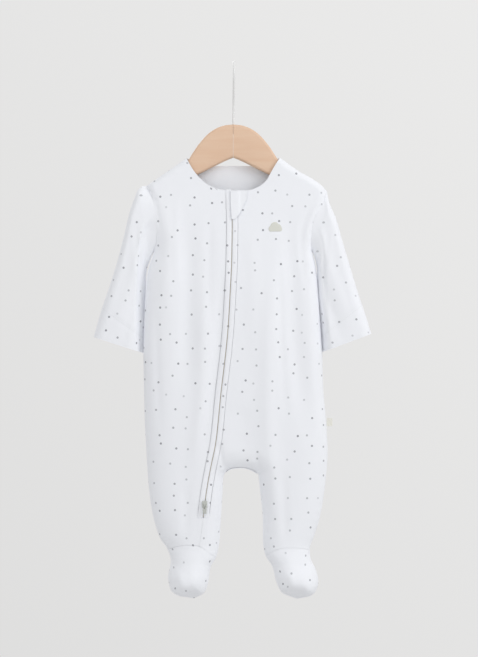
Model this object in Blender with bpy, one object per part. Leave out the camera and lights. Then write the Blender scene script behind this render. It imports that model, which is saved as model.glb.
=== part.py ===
"""Footed baby sleepsuit for the first months, hanging on a small wooden hanger by its wire hook.

Metres, +Z up; the front of the garment faces -Y. The origin is the inside top of the hook, where it rests
on a rail. Left and right are as seen from the front. The tables are in millimetres: x is across, drop is
down from the origin, and depths are out from the middle plane of the garment.
"""

import math

import bmesh
import bpy
import numpy as np
from mathutils import Matrix

MM = 0.001
WALL = 1.5  # cloth
GAP = 0.3  # clearance where two pieces meet
FRONT, BACK = -1, 1


def table(names, *rows):
    """A short table as {column name: values}."""
    return dict(zip(names.split(), np.array(rows, float).T))


def smooth(knots, values, at):
    """Value at a place on a smooth curve through a table's rows, with no overshoot."""
    at = np.clip(at, knots[0], knots[-1])
    step = np.diff(knots)
    rise = np.diff(values) / step
    both = rise[:-1] * rise[1:]
    total = np.where(both > 0, rise[:-1] + rise[1:], 1.0)
    slope = np.concatenate([rise[:1], np.where(both > 0, 2 * both / total, 0.0), rise[-1:]])
    i = np.clip(np.searchsorted(knots, at, side="right") - 1, 0, len(knots) - 2)
    t = (at - knots[i]) / step[i]
    return (
        values[i] * (1 + 2 * t) * (1 - t) ** 2
        + values[i + 1] * t**2 * (3 - 2 * t)
        + step[i] * (slope[i] * t * (1 - t) ** 2 + slope[i + 1] * t**2 * (t - 1))
    )


class Path:
    """A smooth line through outline points (x, drop), read by its share of length."""

    def __init__(self, *rows):
        knots = np.array(rows, float)
        chord = np.concatenate([[0], np.cumsum(np.linalg.norm(np.diff(knots, axis=0), axis=1))])
        fine = np.linspace(0, chord[-1], 12 * (len(rows) - 1) + 1)
        fine = np.unique(np.concatenate([fine, chord]))
        self.points = np.stack([smooth(chord, knots[:, k], fine) for k in (0, 1)], axis=1)
        steps = np.linalg.norm(np.diff(self.points, axis=0), axis=1)
        self.length = np.concatenate([[0], np.cumsum(steps)])

    def at(self, share):
        """Points (x, drop) at shares of the length."""
        reach = np.asarray(share, float) * self.length[-1]
        return np.stack([np.interp(reach, self.length, self.points[:, k]) for k in (0, 1)], axis=-1)

    def share(self, value, column=1):
        """Share of the length where x (column 0) or drop (column 1) first passes a value."""
        side = self.points[:, column] - value
        crossing = np.nonzero(side[:-1] * side[1:] <= 0)[0][0]
        part = side[crossing] / (side[crossing] - side[crossing + 1] or 1.0)
        reach = self.length[crossing] + part * (self.length[crossing + 1] - self.length[crossing])
        return reach / self.length[-1]

    def distance(self, spots):
        """Distance of each spot (x, drop) from the line, and the place there."""
        best = np.full(len(spots), np.inf)
        place = np.zeros_like(spots)
        for a, b in zip(self.points, self.points[1:]):
            along = b - a
            t = np.clip((spots - a) @ along / (along @ along), 0, 1)
            near = a + t[:, None] * along
            gap = np.linalg.norm(spots - near, axis=1)
            closer = gap < best
            best[closer] = gap[closer]
            place[closer] = near[closer]
        return best, place


# Outline: shoulder tip, armhole, side seam, ankle and foot, down each side to the toe.
CROTCH = 513.0
TIP_LEFT, TIP_RIGHT = 153.8, 160.0
UNDERARM = 236.0
SIDE_LEFT = Path(
    (-109.4, TIP_LEFT), (-102.0, 171), (-97.6, 186), (-96.6, 205), (-97.6, 225), (-100.4, UNDERARM),
    (-106.6, 255), (-110.3, 277), (-112.6, 330), (-113.4, 361), (-112.2, 434), (-108.8, 501),
    (-106.3, 534), (-101.3, 566), (-92.5, 594), (-83.5, 607), (-79.0, 622), (-82.3, 641),
    (-79.5, 656), (-68.5, 664.5), (-50.0, 667.5),
)
SIDE_RIGHT = Path(
    (115.5, TIP_RIGHT), (111.5, 175), (103.4, 188), (97.3, 205), (96.0, 225), (97.5, UNDERARM),
    (101.0, 250), (103.4, 268), (108.0, 330), (110.0, 361), (111.5, 409), (115.2, 451),
    (116.8, 486), (113.8, 526), (107.5, 566), (100.0, 591), (94.5, 608), (95.5, 619),
    (102.3, 634), (104.8, 648), (100.5, 660), (92.0, 665.5), (77.5, 668.0),
)
# The inner line: up from the left toe, over the crotch and down to the right toe.
ARCH_LEFT, ARCH_RIGHT = (-12.0, CROTCH), (30.0, CROTCH + 1)
INNER_LEFT = Path(
    ARCH_LEFT, (-13.8, 519), (-14.5, 536), (-16.3, 566), (-18.8, 601), (-22.3, 617), (-29.5, 630),
    (-32.3, 648), (-37.5, 661), (-50.0, 667.5),
)
ARCH = Path(ARCH_LEFT, (-8.0, 508.5), (0.0, 505.6), (9.0, 505.0), (18.0, 506.6), (25.5, 510), ARCH_RIGHT)
INNER_RIGHT = Path(
    ARCH_RIGHT, (32.5, 536), (35.8, 571), (36.0, 598), (39.0, 615), (47.8, 629), (52.0, 646),
    (59.5, 660.5), (77.5, 668.0),
)
SHOULDER_LEFT = Path((-59.5, 119.1), (-84.0, 136.0), (-109.4, TIP_LEFT))
SHOULDER_RIGHT = Path((57.1, 118.4), (79.4, 134.5), (98.8, 145.6), (107.5, 151.8), (115.5, TIP_RIGHT))
NECK_FRONT = Path(
    (-59.5, 119.1), (-54.1, 129.5), (-46.8, 140), (-34.4, 151.8), (-22.0, 157.5), (-10.9, 159.8),
    (17.5, 159.8), (30.0, 155.5), (39.8, 148.1), (46.0, 137.0), (57.1, 118.4),
)
NECK_BACK = Path((-59.5, 119.1), (-42.0, 125.4), (-15.0, 128.5), (24.0, 128.2), (43.0, 124.8), (57.1, 118.4))
ANKLE_LEFT = Path((-83.5, 607), (-70.0, 602.5), (-58.8, 600.5), (-45.0, 601.5), (-34.0, 608), (-22.3, 617))
ANKLE_RIGHT = Path((39.0, 615), (48.0, 608.5), (62.0, 604.0), (80.0, 604.5), (94.5, 608))

# Half thickness of the garment, and how wide its rounded edges are.
FORM = table(
    "drop front back middle side inner",
    (118, 8.4, 8.4, 0, 9, 26),
    (150, 8.8, 8.6, 0, 9, 26),
    (185, 10.5, 9.5, 0, 12, 26),
    (236, 14.0, 12.5, 0, 30, 26),
    (290, 17.0, 14.5, 0, 38, 26),
    (430, 18.0, 16.0, 0, 38, 26),
    (513, 18.0, 16.0, 0, 38, 26),
    (560, 19.0, 17.0, 0, 38, 26),
    (600, 20.0, 18.0, 0, 35, 25),
    (622, 24.0, 18.0, -3, 30, 24),
    (642, 30.0, 17.0, -7, 27, 24),
    (668, 31.0, 17.0, -12, 26, 24),
)
SHOULDER_ROUND = 8.5
ARMHOLE_HALF = 9.5
ARCH_HALF = 8.5

# Largest folds: a soft ridge (+) or trough (-) through three places, out from the cloth.
FOLDS = {
    FRONT: table(
        "top_x top_drop mid_x mid_drop low_x low_drop width height",
        (-86, 165, -84, 230, -88, 330, 9, 1.6),
        (-56, 178, -57, 300, -62, 430, 11, -3.0),
        (-36, 260, -39, 390, -52, 540, 9, 2.4),
        (-14, 240, -22, 370, -42, 500, 7, -2.0),
        (70, 172, 74, 300, 92, 490, 13, -4.5),
        (44, 250, 42, 420, 50, 600, 11, 2.8),
        (98, 250, 100, 340, 106, 470, 7, 1.6),
    ),
    BACK: table(
        "top_x top_drop mid_x mid_drop low_x low_drop width height",
        (-70, 175, -72, 300, -80, 470, 12, -3.0),
        (-30, 190, -34, 330, -46, 560, 12, 2.2),
        (6, 180, 10, 300, 12, 440, 13, -2.4),
        (48, 190, 46, 350, 58, 570, 11, 2.4),
        (80, 200, 82, 330, 88, 480, 10, -2.6),
    ),
}


def rounded(distance, radius, start=0.0):
    """Fullness of the cloth at a distance from an edge: start there, 1 from the radius on."""
    t = np.clip(distance / radius, 0, 1)
    return np.sqrt(start**2 + (1 - start**2) * (1 - (1 - t) ** 2))


def armhole_half(drop, tip):
    """Half the armhole's width at a drop: a narrow oval from the shoulder tip to the underarm."""
    t = np.clip((drop - tip) / (UNDERARM - tip), 0, 1)
    return ARMHOLE_HALF * np.sin(math.pi * t) ** 0.6


def arch_half(x):
    """Half the width of the crotch opening that the gusset fills."""
    t = np.clip((x - ARCH_LEFT[0]) / (ARCH_RIGHT[0] - ARCH_LEFT[0]), 0, 1)
    return ARCH_HALF * np.sin(math.pi * t) ** 0.6


def fold_height(x, drop, face):
    """Height of all the folds of one face."""
    total = np.zeros_like(x)
    rows = FOLDS[face]
    for row in zip(*rows.values()):
        top_x, top, mid_x, mid, low_x, low, width, height = row
        path = smooth(np.array([top, mid, low]), np.array([top_x, mid_x, low_x]), drop)
        ends = np.clip((drop - top) / 40, 0, 1) * np.clip((low - drop) / 60, 0, 1)
        ends = ends * ends * (3 - 2 * ends)
        total += height * ends * np.exp(-(((x - path) / width) ** 2))
    return total


def depth(spots, face):
    """Distance of the outer surface from the middle surface at each spot (x, drop)."""
    x, drop = spots[:, 0], spots[:, 1]
    base = smooth(FORM["drop"], FORM["front" if face == FRONT else "back"], drop)
    full = np.ones(len(spots))
    calm = np.ones(len(spots))
    for line, tip in ((SIDE_LEFT, TIP_LEFT), (SIDE_RIGHT, TIP_RIGHT)):
        gap, place = line.distance(spots)
        radius = smooth(FORM["drop"], FORM["side"], place[:, 1])
        full *= rounded(gap, radius, armhole_half(place[:, 1], tip) / base)
        calm *= rounded(gap, radius)
    radius = smooth(FORM["drop"], FORM["inner"], drop)
    nearest, start = np.full(len(spots), np.inf), np.zeros(len(spots))
    for line in (INNER_LEFT, ARCH, INNER_RIGHT):
        gap, place = line.distance(spots)
        closer = gap < nearest
        nearest[closer] = gap[closer]
        start[closer] = arch_half(place[closer, 0]) / base[closer] if line is ARCH else 0.0
    full *= rounded(nearest, radius, start)
    calm *= rounded(nearest, radius)
    for line in (SHOULDER_LEFT, SHOULDER_RIGHT):
        gap = line.distance(spots)[0]
        full *= rounded(gap, SHOULDER_ROUND)
        calm *= rounded(gap, 2 * SHOULDER_ROUND)
    return base * full + fold_height(x, drop, face) * calm**2


def middle(drop):
    """Y of the middle surface: 0, and forward at the toes."""
    return smooth(FORM["drop"], FORM["middle"], drop)


def make(name, corners, faces, look):
    """A mesh object from points in millimetres (x, y, z)."""
    mesh = bpy.data.meshes.new(name)
    mesh.from_pydata((np.array(corners) * MM).tolist(), [], [list(map(int, f)) for f in faces])
    mesh.materials.append(look)
    made = bpy.data.objects.new(name, mesh)
    bpy.context.collection.objects.link(made)
    mesh.shade_smooth()
    mesh.set_sharp_from_angle(angle=math.radians(50))
    return made


def material(name, colour, roughness, metallic=0.0):
    """A plain Principled material."""
    made = bpy.data.materials.new(name)
    made.use_nodes = True
    shader = made.node_tree.nodes["Principled BSDF"]
    shader.inputs["Base Color"].default_value = (*colour, 1.0)
    shader.inputs["Roughness"].default_value = roughness
    shader.inputs["Metallic"].default_value = metallic
    return made


def unit(vectors):
    """Vectors of length one."""
    return vectors / np.maximum(np.linalg.norm(vectors, axis=-1, keepdims=True), 1e-9)


class Panel:
    """One flat-cut cloth piece: quads over its outline, lifted to the form and given a wall."""

    def __init__(self, name, face):
        self.name, self.face = name, face
        self.spots, self.closed, self.quads, self.known = [], [], [], {}

    def corner(self, spot, closed):
        """Index of a net point; points shared by two nets are one."""
        key = tuple(np.round(spot, 2))
        if key not in self.known:
            self.known[key] = len(self.spots)
            self.spots.append(spot)
            self.closed.append(closed)
        index = self.known[key]
        self.closed[index] = self.closed[index] or closed
        return index

    def add(self, net, closed):
        """Add a net of (x, drop) points; closed marks those on a seam with the other face."""
        index = [[self.corner(s, c) for s, c in zip(*row)] for row in zip(net, closed)]
        for upper, lower in zip(index, index[1:]):
            for a, b, c, d in zip(upper, upper[1:], lower[1:], lower):
                self.quads.append((a, d, c, b) if self.face == FRONT else (a, b, c, d))

    def build(self, look):
        """Lift the net to the form and give it its wall."""
        spots, closed = np.array(self.spots), np.array(self.closed)
        out = np.where(closed, GAP / 2, np.maximum(depth(spots, self.face), GAP / 2))
        outer = np.stack([spots[:, 0], middle(spots[:, 1]) + self.face * out, -spots[:, 1]], axis=1)
        inner = outer + WALL * self.inward(outer, closed)
        limit = middle(-inner[:, 2]) + self.face * GAP / 2
        side = np.maximum if self.face == BACK else np.minimum
        inner[:, 1] = side(inner[:, 1], limit)
        return solid(self.name, outer, inner, self.quads, look)

    def inward(self, outer, closed):
        """Direction from the outer to the inner surface at each net point."""
        normals = np.zeros_like(outer)
        for quad in self.quads:
            a, b, c, d = outer[list(quad)]
            normals[list(quad)] += np.cross(c - a, d - b)
        into = -unit(normals)
        after = rim(self.quads)
        before = {b: a for a, b in after.items()}
        for here, ahead in after.items():
            behind = before[here]
            tangent = unit(outer[ahead] - outer[behind])
            if not closed[here]:
                straight = np.array([0.0, -self.face, 0.0])
                into[here] = unit(straight - (straight @ tangent) * tangent)
                continue
            across = unit(np.cross([0.0, self.face, 0.0], tangent) * [1, 0, 1])
            for near in (ahead, behind):
                if not closed[near]:
                    across = across + 2 * unit((outer[near] - outer[here]) * [1, 0, 1])
            into[here] = unit(across)
        return into


def rim(quads):
    """The edges that only one face has, as {corner: next corner}."""
    edges = {(a, b) for quad in quads for a, b in zip(quad, quad[1:] + quad[:1])}
    return {a: b for a, b in edges if (b, a) not in edges}


def solid(name, outer, inner, quads, look):
    """A closed wall between an outer and an inner surface with the same faces."""
    count = len(outer)
    faces = list(quads) + [tuple(count + i for i in reversed(quad)) for quad in quads]
    faces += [(b, a, count + a, count + b) for a, b in rim(quads).items()]
    return make(name, np.vstack([outer, inner]), faces, look)


def net_quads(rows, columns, turn=False):
    """Faces of a net of rows and columns; turn points them the other way."""
    quads = []
    for r in range(rows - 1):
        for c in range(columns - 1):
            a = r * columns + c
            quad = (a, a + columns, a + columns + 1, a + 1)
            quads.append(tuple(reversed(quad)) if turn else quad)
    return quads


def patch(top, bottom, left, right, across, down, top_reach=0.28, bottom_reach=0.12):
    """Net between four edges; the bends of the top and bottom edges fade away inside."""
    u = across[None, :, None]
    net = (1 - u) * left[:, None] + u * right[:, None]
    for edge, row, away, reach in ((top, 0, down, top_reach), (bottom, -1, 1 - down, bottom_reach)):
        bend = edge - net[row]
        net = net + np.clip(1 - away / reach, 0, 1)[:, None, None] ** 2 * bend[None]
    net[0], net[-1] = top, bottom
    return net


NECK_CROWD = 2.4  # columns crowd towards the neck corners, where the cloth opens round the wood

# Rows of every net, as shares: dense at the shoulder's round edge, then down to the crotch and ankle.
ARMHOLE_ROWS = np.array([0, 0.005, 0.017, 0.04, 0.07, 0.15, 0.3, 0.5, 0.72, 0.9, 1])
TRUNK_ROWS = np.array([0, 0.11, 0.23, 0.36, 0.49, 0.62, 0.74, 0.85, 0.94, 1])
LEG_ROWS = np.array([0, 0.17, 0.36, 0.5, 0.607, 0.669, 0.83, 1])
LEG_COLUMNS = np.array([0, 0.03, 0.1, 0.22, 0.38, 0.55, 0.72, 0.86, 0.95, 1])
HALF_COLUMNS = np.array([0, 0.03, 0.1, 0.22, 0.38, 0.55, 0.7, 0.85, 1])
STRIP_COLUMNS = np.array([0, 0.5, 0.85, 1])
ARCH_COLUMNS = np.array([0, 0.14, 0.34, 0.5, 0.66, 0.86, 1])

# Zip: the line between the two welts, and the seam that carries on below it to the ankle.
ZIP = table(
    "drop x",
    (157, -3.75), (204, -2.5), (246, -3.1), (288, -5.0), (330, -7.5), (361, -10.4), (411, -16.3),
    (471, -22.5), (509, -30.0), (534, -34.4), (561, -37.8), (580, -40.0), (604, -43.4),
)
ZIP_END = 567.0
ZIP_HALF = table("drop half", (150, 7.3), (ZIP_END, 7.3), (572, 0.15), (620, 0.15))


def zip_edge(drops, side):
    """Points where a front panel ends at the zip, side -1 left or 1 right."""
    drops = np.asarray(drops, float)
    x = smooth(ZIP["drop"], ZIP["x"], drops)
    half = np.interp(drops, ZIP_HALF["drop"], ZIP_HALF["half"])
    return np.stack([x + side * half, drops], axis=1)


def trunk_rows(side):
    """Side edge points from the shoulder tip to the crotch level, and their shares."""
    under = side.share(UNDERARM)
    low = side.share(CROTCH)
    shares = np.concatenate([ARMHOLE_ROWS * under, under + TRUNK_ROWS[1:] * (low - under)])
    return side.at(shares), shares / low


def leg_side(path, start, end, rows=LEG_ROWS):
    """Points along a leg's edge between two drops."""
    first, last = path.share(start), path.share(end)
    return path.at(first + rows * (last - first))


def seam_flags(points, tip):
    """True where a side edge is sewn to the other face, not open to a sleeve."""
    return armhole_half(points[:, 1], tip) < 1e-6


def front_left(look):
    """Front from the left side seam to the zip and down to the ankle."""
    panel = Panel("front_left", FRONT)
    side, down = trunk_rows(SIDE_LEFT)
    corner = list(HALF_COLUMNS).index(0.55)
    neck_end = NECK_FRONT.share(zip_edge([159.8], -1)[0][0], 0)
    shoulder = SHOULDER_LEFT.at(1 - HALF_COLUMNS[: corner + 1] / 0.55)
    neck = NECK_FRONT.at(((HALF_COLUMNS[corner + 1 :] - 0.55) / 0.45) ** NECK_CROWD * neck_end)
    top = np.vstack([shoulder, neck])
    edge = zip_edge(top[-1][1] + down * (CROTCH - top[-1][1]), -1)
    bottom = (1 - HALF_COLUMNS[:, None]) * side[-1] + HALF_COLUMNS[:, None] * edge[-1]
    net = patch(top, bottom, side, edge, HALF_COLUMNS, down)
    closed = np.zeros(net.shape[:2], bool)
    closed[:, 0] = seam_flags(side, TIP_LEFT)
    closed[0, : corner + 1] = True
    panel.add(net, closed)
    ankle_end = ANKLE_LEFT.share(zip_edge([602], -1)[0][0], 0)
    ankle = ANKLE_LEFT.at(HALF_COLUMNS * ankle_end)
    leg = leg_side(SIDE_LEFT, CROTCH, 607)
    edge = zip_edge(CROTCH + LEG_ROWS * (ankle[-1][1] - CROTCH), -1)
    leg_net = patch(net[-1], ankle, leg, edge, HALF_COLUMNS, LEG_ROWS, 0.3, 0.3)
    closed = np.zeros(leg_net.shape[:2], bool)
    closed[:, 0] = True
    panel.add(leg_net, closed)
    return panel.build(look)


def breaks(left, right):
    """Column shares of a panel that spans both legs, and the indexes where its arch starts and ends."""
    width = right[0] - left[0]
    first, last = (ARCH_LEFT[0] - left[0]) / width, (ARCH_RIGHT[0] - left[0]) / width
    return first, last


def arch_points():
    """The crotch opening's edge, at the columns of the panels."""
    return ARCH.at(ARCH_COLUMNS)


def front_right(look):
    """Front from the zip to the right side seam, with the left leg's inner strip and the right leg."""
    panel = Panel("front_right", FRONT)
    side, down = trunk_rows(SIDE_RIGHT)
    start = NECK_FRONT.share(zip_edge([159.8], 1)[0][0], 0)
    edge_low = zip_edge([CROTCH], 1)[0]
    first, last = breaks(edge_low, side[-1])
    leg_columns = 1 - LEG_COLUMNS[::-1]
    leg_columns[1:3] = (0.05, 0.14)
    arch = arch_points()
    arch_shares = (arch[1:-1, 0] - edge_low[0]) / (side[-1][0] - edge_low[0])
    across = np.concatenate([STRIP_COLUMNS * first, arch_shares, last + leg_columns * (1 - last)])
    corner = int(np.argmin(abs(across - 0.53)))
    neck = NECK_FRONT.at(start + (1 - (1 - across[:corner] / across[corner]) ** NECK_CROWD) * (1 - start))
    shoulder = SHOULDER_RIGHT.at((across[corner:] - across[corner]) / (1 - across[corner]))
    top = np.vstack([neck, shoulder])
    edge = zip_edge(top[0][1] + down * (CROTCH - top[0][1]), 1)
    arch_from, arch_to = len(STRIP_COLUMNS) - 1, len(STRIP_COLUMNS) - 1 + len(arch) - 1
    bottom = (1 - across[:, None]) * edge[-1] + across[:, None] * side[-1]
    bottom[arch_from : arch_to + 1] = arch
    net = patch(top, bottom, edge, side, across, down)
    closed = np.zeros(net.shape[:2], bool)
    closed[:, -1] = seam_flags(side, TIP_RIGHT)
    closed[0, corner:] = True
    closed[-1, [arch_from, arch_to]] = True
    panel.add(net, closed)
    ankle_start = ANKLE_LEFT.share(zip_edge([602], 1)[0][0], 0)
    ankle = ANKLE_LEFT.at(ankle_start + STRIP_COLUMNS * (1 - ankle_start))
    strip_edge = zip_edge(CROTCH + LEG_ROWS * (ankle[0][1] - CROTCH), 1)
    inner = leg_side(INNER_LEFT, CROTCH, 617)
    strip = patch(net[-1, : arch_from + 1], ankle, strip_edge, inner, STRIP_COLUMNS, LEG_ROWS, 0.3, 0.3)
    closed = np.zeros(strip.shape[:2], bool)
    closed[:, -1] = True
    panel.add(strip, closed)
    ankle = ANKLE_RIGHT.at(leg_columns)
    inner = leg_side(INNER_RIGHT, CROTCH + 1, 615)
    outer = leg_side(SIDE_RIGHT, CROTCH, 608)
    leg = patch(net[-1, arch_to:], ankle, inner, outer, leg_columns, LEG_ROWS, 0.3, 0.3)
    closed = np.zeros(leg.shape[:2], bool)
    closed[:, [0, -1]] = True
    panel.add(leg, closed)
    return panel.build(look)


def back(look):
    """The whole back with both legs."""
    panel = Panel("back", BACK)
    left, down = trunk_rows(SIDE_LEFT)
    right, _ = trunk_rows(SIDE_RIGHT)
    first, last = breaks(left[-1], right[-1])
    right_columns = 1 - LEG_COLUMNS[::-1]
    right_columns[1:3] = (0.05, 0.14)
    arch = arch_points()
    arch_shares = (arch[1:-1, 0] - left[-1][0]) / (right[-1][0] - left[-1][0])
    across = np.concatenate([LEG_COLUMNS * first, arch_shares, last + right_columns * (1 - last)])
    neck_from, neck_to = (int(np.argmin(abs(across - share))) for share in (0.24, 0.73))
    neck = 2 * (across[neck_from:neck_to] - across[neck_from]) / (across[neck_to] - across[neck_from])
    neck = np.where(neck < 1, neck**NECK_CROWD, 2 - np.clip(2 - neck, 0, 2) ** NECK_CROWD) / 2
    top = np.vstack(
        [
            SHOULDER_LEFT.at(1 - across[:neck_from] / across[neck_from]),
            NECK_BACK.at(neck),
            SHOULDER_RIGHT.at((across[neck_to:] - across[neck_to]) / (1 - across[neck_to])),
        ]
    )
    arch_from = len(LEG_COLUMNS) - 1
    arch_to = arch_from + len(arch) - 1
    bottom = (1 - across[:, None]) * left[-1] + across[:, None] * right[-1]
    bottom[arch_from : arch_to + 1] = arch
    net = patch(top, bottom, left, right, across, down)
    closed = np.zeros(net.shape[:2], bool)
    closed[:, 0] = seam_flags(left, TIP_LEFT)
    closed[:, -1] = seam_flags(right, TIP_RIGHT)
    closed[0, : neck_from + 1] = closed[0, neck_to:] = True
    closed[-1, [arch_from, arch_to]] = True
    panel.add(net, closed)
    legs = (
        (SIDE_LEFT, 607, INNER_LEFT, 617, ANKLE_LEFT, net[-1, : arch_from + 1], LEG_COLUMNS),
        (INNER_RIGHT, 615, SIDE_RIGHT, 608, ANKLE_RIGHT, net[-1, arch_to:], right_columns),
    )
    for left_path, left_end, right_path, right_end, ankle, top, columns in legs:
        left = leg_side(left_path, top[0][1], left_end)
        right = leg_side(right_path, top[-1][1], right_end)
        leg = patch(top, ankle.at(columns), left, right, columns, LEG_ROWS, 0.3, 0.3)
        closed = np.zeros(leg.shape[:2], bool)
        closed[:, [0, -1]] = True
        panel.add(leg, closed)
    return panel.build(look)


ANKLE_GAP = 0.55  # the ankle seam curves between its columns
FOOT_ROWS = np.array([0, 0.12, 0.3, 0.5, 0.68, 0.84, 0.94, 1])
FOOT_COLUMNS = np.array([0, 0.04, 0.14, 0.3, 0.5, 0.7, 0.86, 0.96, 1])


def foot(name, face, left_path, left_start, right_path, right_start, ankle, look):
    """One face of a foot: from the ankle seam to the rounded toe."""
    panel = Panel(name, face)
    low = 657.0
    left, right = leg_side(left_path, left_start, low, FOOT_ROWS), leg_side(right_path, right_start, low, FOOT_ROWS)
    toe_left, toe_right = left_path.share(low), right_path.share(low)
    half = FOOT_COLUMNS[FOOT_COLUMNS <= 0.5] / 0.5
    rise = (FOOT_COLUMNS[FOOT_COLUMNS > 0.5] - 0.5) / 0.5
    toe = np.vstack([left_path.at(toe_left + half * (1 - toe_left)), right_path.at(1 - rise * (1 - toe_right))])
    top = ankle.at(FOOT_COLUMNS)
    net = patch(top, toe, left, right, FOOT_COLUMNS, FOOT_ROWS, 0.5, 0.6)
    net[0, :, 1] += ANKLE_GAP
    closed = np.zeros(net.shape[:2], bool)
    closed[:, [0, -1]] = closed[-1] = True
    panel.add(net, closed)
    return panel.build(look)


def sleeve(name, side, tip, stations, look):
    """A set-in sleeve: rings from the armhole's oval to the flattened cuff."""
    under = side.share(UNDERARM)
    edge = side.at(ARMHOLE_ROWS * under)
    outward = -1.0 if side is SIDE_LEFT else 1.0
    edge[:, 0] += outward * GAP
    steps = np.concatenate([[0], np.cumsum(np.linalg.norm(np.diff(edge, axis=0), axis=1))])
    share = steps / steps[-1]
    bow = edge - ((1 - share)[:, None] * edge[0] + share[:, None] * edge[-1])
    spots = edge.copy()
    spots[:, 0] -= outward * GAP
    start = {face: np.where(seam_flags(spots, tip), 0.0, depth(spots, face)) for face in (FRONT, BACK)}
    places = np.linspace(0, 1, SLEEVE_RINGS) ** 1.25 * (len(stations["out_x"]) - 1)
    knots = np.arange(len(stations["out_x"]), dtype=float)
    outer, inner = [], []
    for place in places:
        now = {key: float(smooth(knots, column, place)) for key, column in stations.items()}
        top = np.array([now["out_x"], now["out_drop"]]) if place else edge[0]
        low = np.array([now["in_x"], now["in_drop"]]) if place else edge[-1]
        keep = max(0.0, 1 - place / 3.0) ** 1.5
        line = (1 - share)[:, None] * top + share[:, None] * low + keep * bow
        width = np.linalg.norm(low - top)
        full = rounded(share * width, SLEEVE_OUTER_ROUND) * rounded((1 - share) * width, SLEEVE_INNER_ROUND)
        curl = np.clip((share - now["curl"]) / (1 - now["curl"]), 0, 1)
        shift = now["in_y"] * curl * curl * (3 - 2 * curl)
        blend = min(1.0, place / 2.0)
        ring = []
        for face, key in ((FRONT, "front"), (BACK, "back")):
            y = shift + face * ((1 - blend) * start[face] + blend * now[key] * full)
            ring.append(np.stack([share * width, y], axis=1))
        loop = np.vstack([ring[0], ring[1][-2:0:-1]])
        line_loop = share * width
        outer.append(lift_ring(loop, line_loop, line))
        inner.append(lift_ring(inset(loop, WALL, shift, len(share)), line_loop, line))
    return tube(name, outer, inner, look, outward < 0)


def inset(loop, amount, shift, count):
    """A ring moved inwards; its front half stays in front of its middle line."""
    tangent = unit(np.roll(loop, -1, axis=0) - np.roll(loop, 1, axis=0))
    moved = loop + amount * np.stack([-tangent[:, 1], tangent[:, 0]], axis=1)
    mid = np.concatenate([shift, shift[-2:0:-1]])
    front = np.arange(len(loop)) < count
    low, high = mid - GAP / 2, mid + GAP / 2
    moved[:, 1] = np.where(front, np.minimum(moved[:, 1], low), np.maximum(moved[:, 1], high))
    for end in (0, count - 1):
        moved[end, 1] = mid[end]
    return moved


def lift_ring(loop, along, line):
    """Ring points (along, y) placed on the line (x, drop) that the ring follows."""
    x, drop = (np.interp(loop[:, 0], along, line[:, k]) for k in (0, 1))
    return np.stack([x, loop[:, 1], -drop], axis=1)


def tube(name, outer, inner, look, mirrored):
    """A closed wall from outer and inner rings, open at both ends."""
    size, rings = len(outer[0]), len(outer)
    corners = np.vstack(outer + inner)
    inside = size * rings
    faces = []
    for k in range(rings - 1):
        for j in range(size):
            a, b = k * size + j, k * size + (j + 1) % size
            faces.append((a, b, b + size, a + size))
            faces.append((inside + a, inside + a + size, inside + b + size, inside + b))
    for k, flip in ((0, False), (rings - 1, True)):
        for j in range(size):
            a, b = k * size + j, k * size + (j + 1) % size
            quad = (a, inside + a, inside + b, b)
            faces.append(tuple(reversed(quad)) if flip else quad)
    if mirrored:
        faces = [tuple(reversed(face)) for face in faces]
    return make(name, corners, faces, look)


SLEEVE_RINGS = 12
SLEEVE_OUTER_ROUND, SLEEVE_INNER_ROUND = 14.0, 10.0
SLEEVE_LEFT = table(
    "out_x out_drop in_x in_drop in_y front back curl",
    (-109.7, 153.8, -100.7, 236, 0, 9.5, 9.5, 0.66),
    (-114.5, 154.3, -103.0, 240.5, 1, 10, 10, 0.66),
    (-120.0, 158.5, -106.2, 248, 4, 10.5, 10.5, 0.66),
    (-126.0, 173, -109.6, 259, 7, 11, 11, 0.66),
    (-131.2, 188, -110.6, 272, 9, 11, 11, 0.66),
    (-138.0, 217, -110.8, 293, 10, 11, 11, 0.66),
    (-146.4, 249, -111.0, 312, 10, 11, 11, 0.66),
    (-156.8, 282, -111.0, 331, 10, 11.5, 11.5, 0.66),
    (-166.3, 310, -111.2, 348, 10, 12, 12, 0.66),
    (-175.6, 342.5, -112.2, 363, 10, 12, 12, 0.66),
)
SLEEVE_RIGHT = table(
    "out_x out_drop in_x in_drop in_y front back curl",
    (115.8, 160.0, 97.8, 236, 0, 9.5, 9.5, 0.78),
    (116.8, 165, 100.2, 241, 1, 10, 10, 0.78),
    (118.4, 173, 102.4, 249, 4, 10.5, 10.5, 0.78),
    (122.2, 183, 103.6, 259, 7, 11, 11, 0.78),
    (127.4, 195, 103.4, 272, 9, 11, 11, 0.78),
    (134.8, 221, 103.2, 292, 10, 11, 11, 0.78),
    (143.8, 251, 105.0, 312, 10, 11, 11, 0.78),
    (153.6, 284, 106.6, 331, 10, 11.5, 11.5, 0.78),
    (162.4, 310, 107.6, 348, 10, 12, 12, 0.78),
    (171.4, 338.5, 108.4, 362, 10, 12, 12, 0.78),
)


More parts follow.
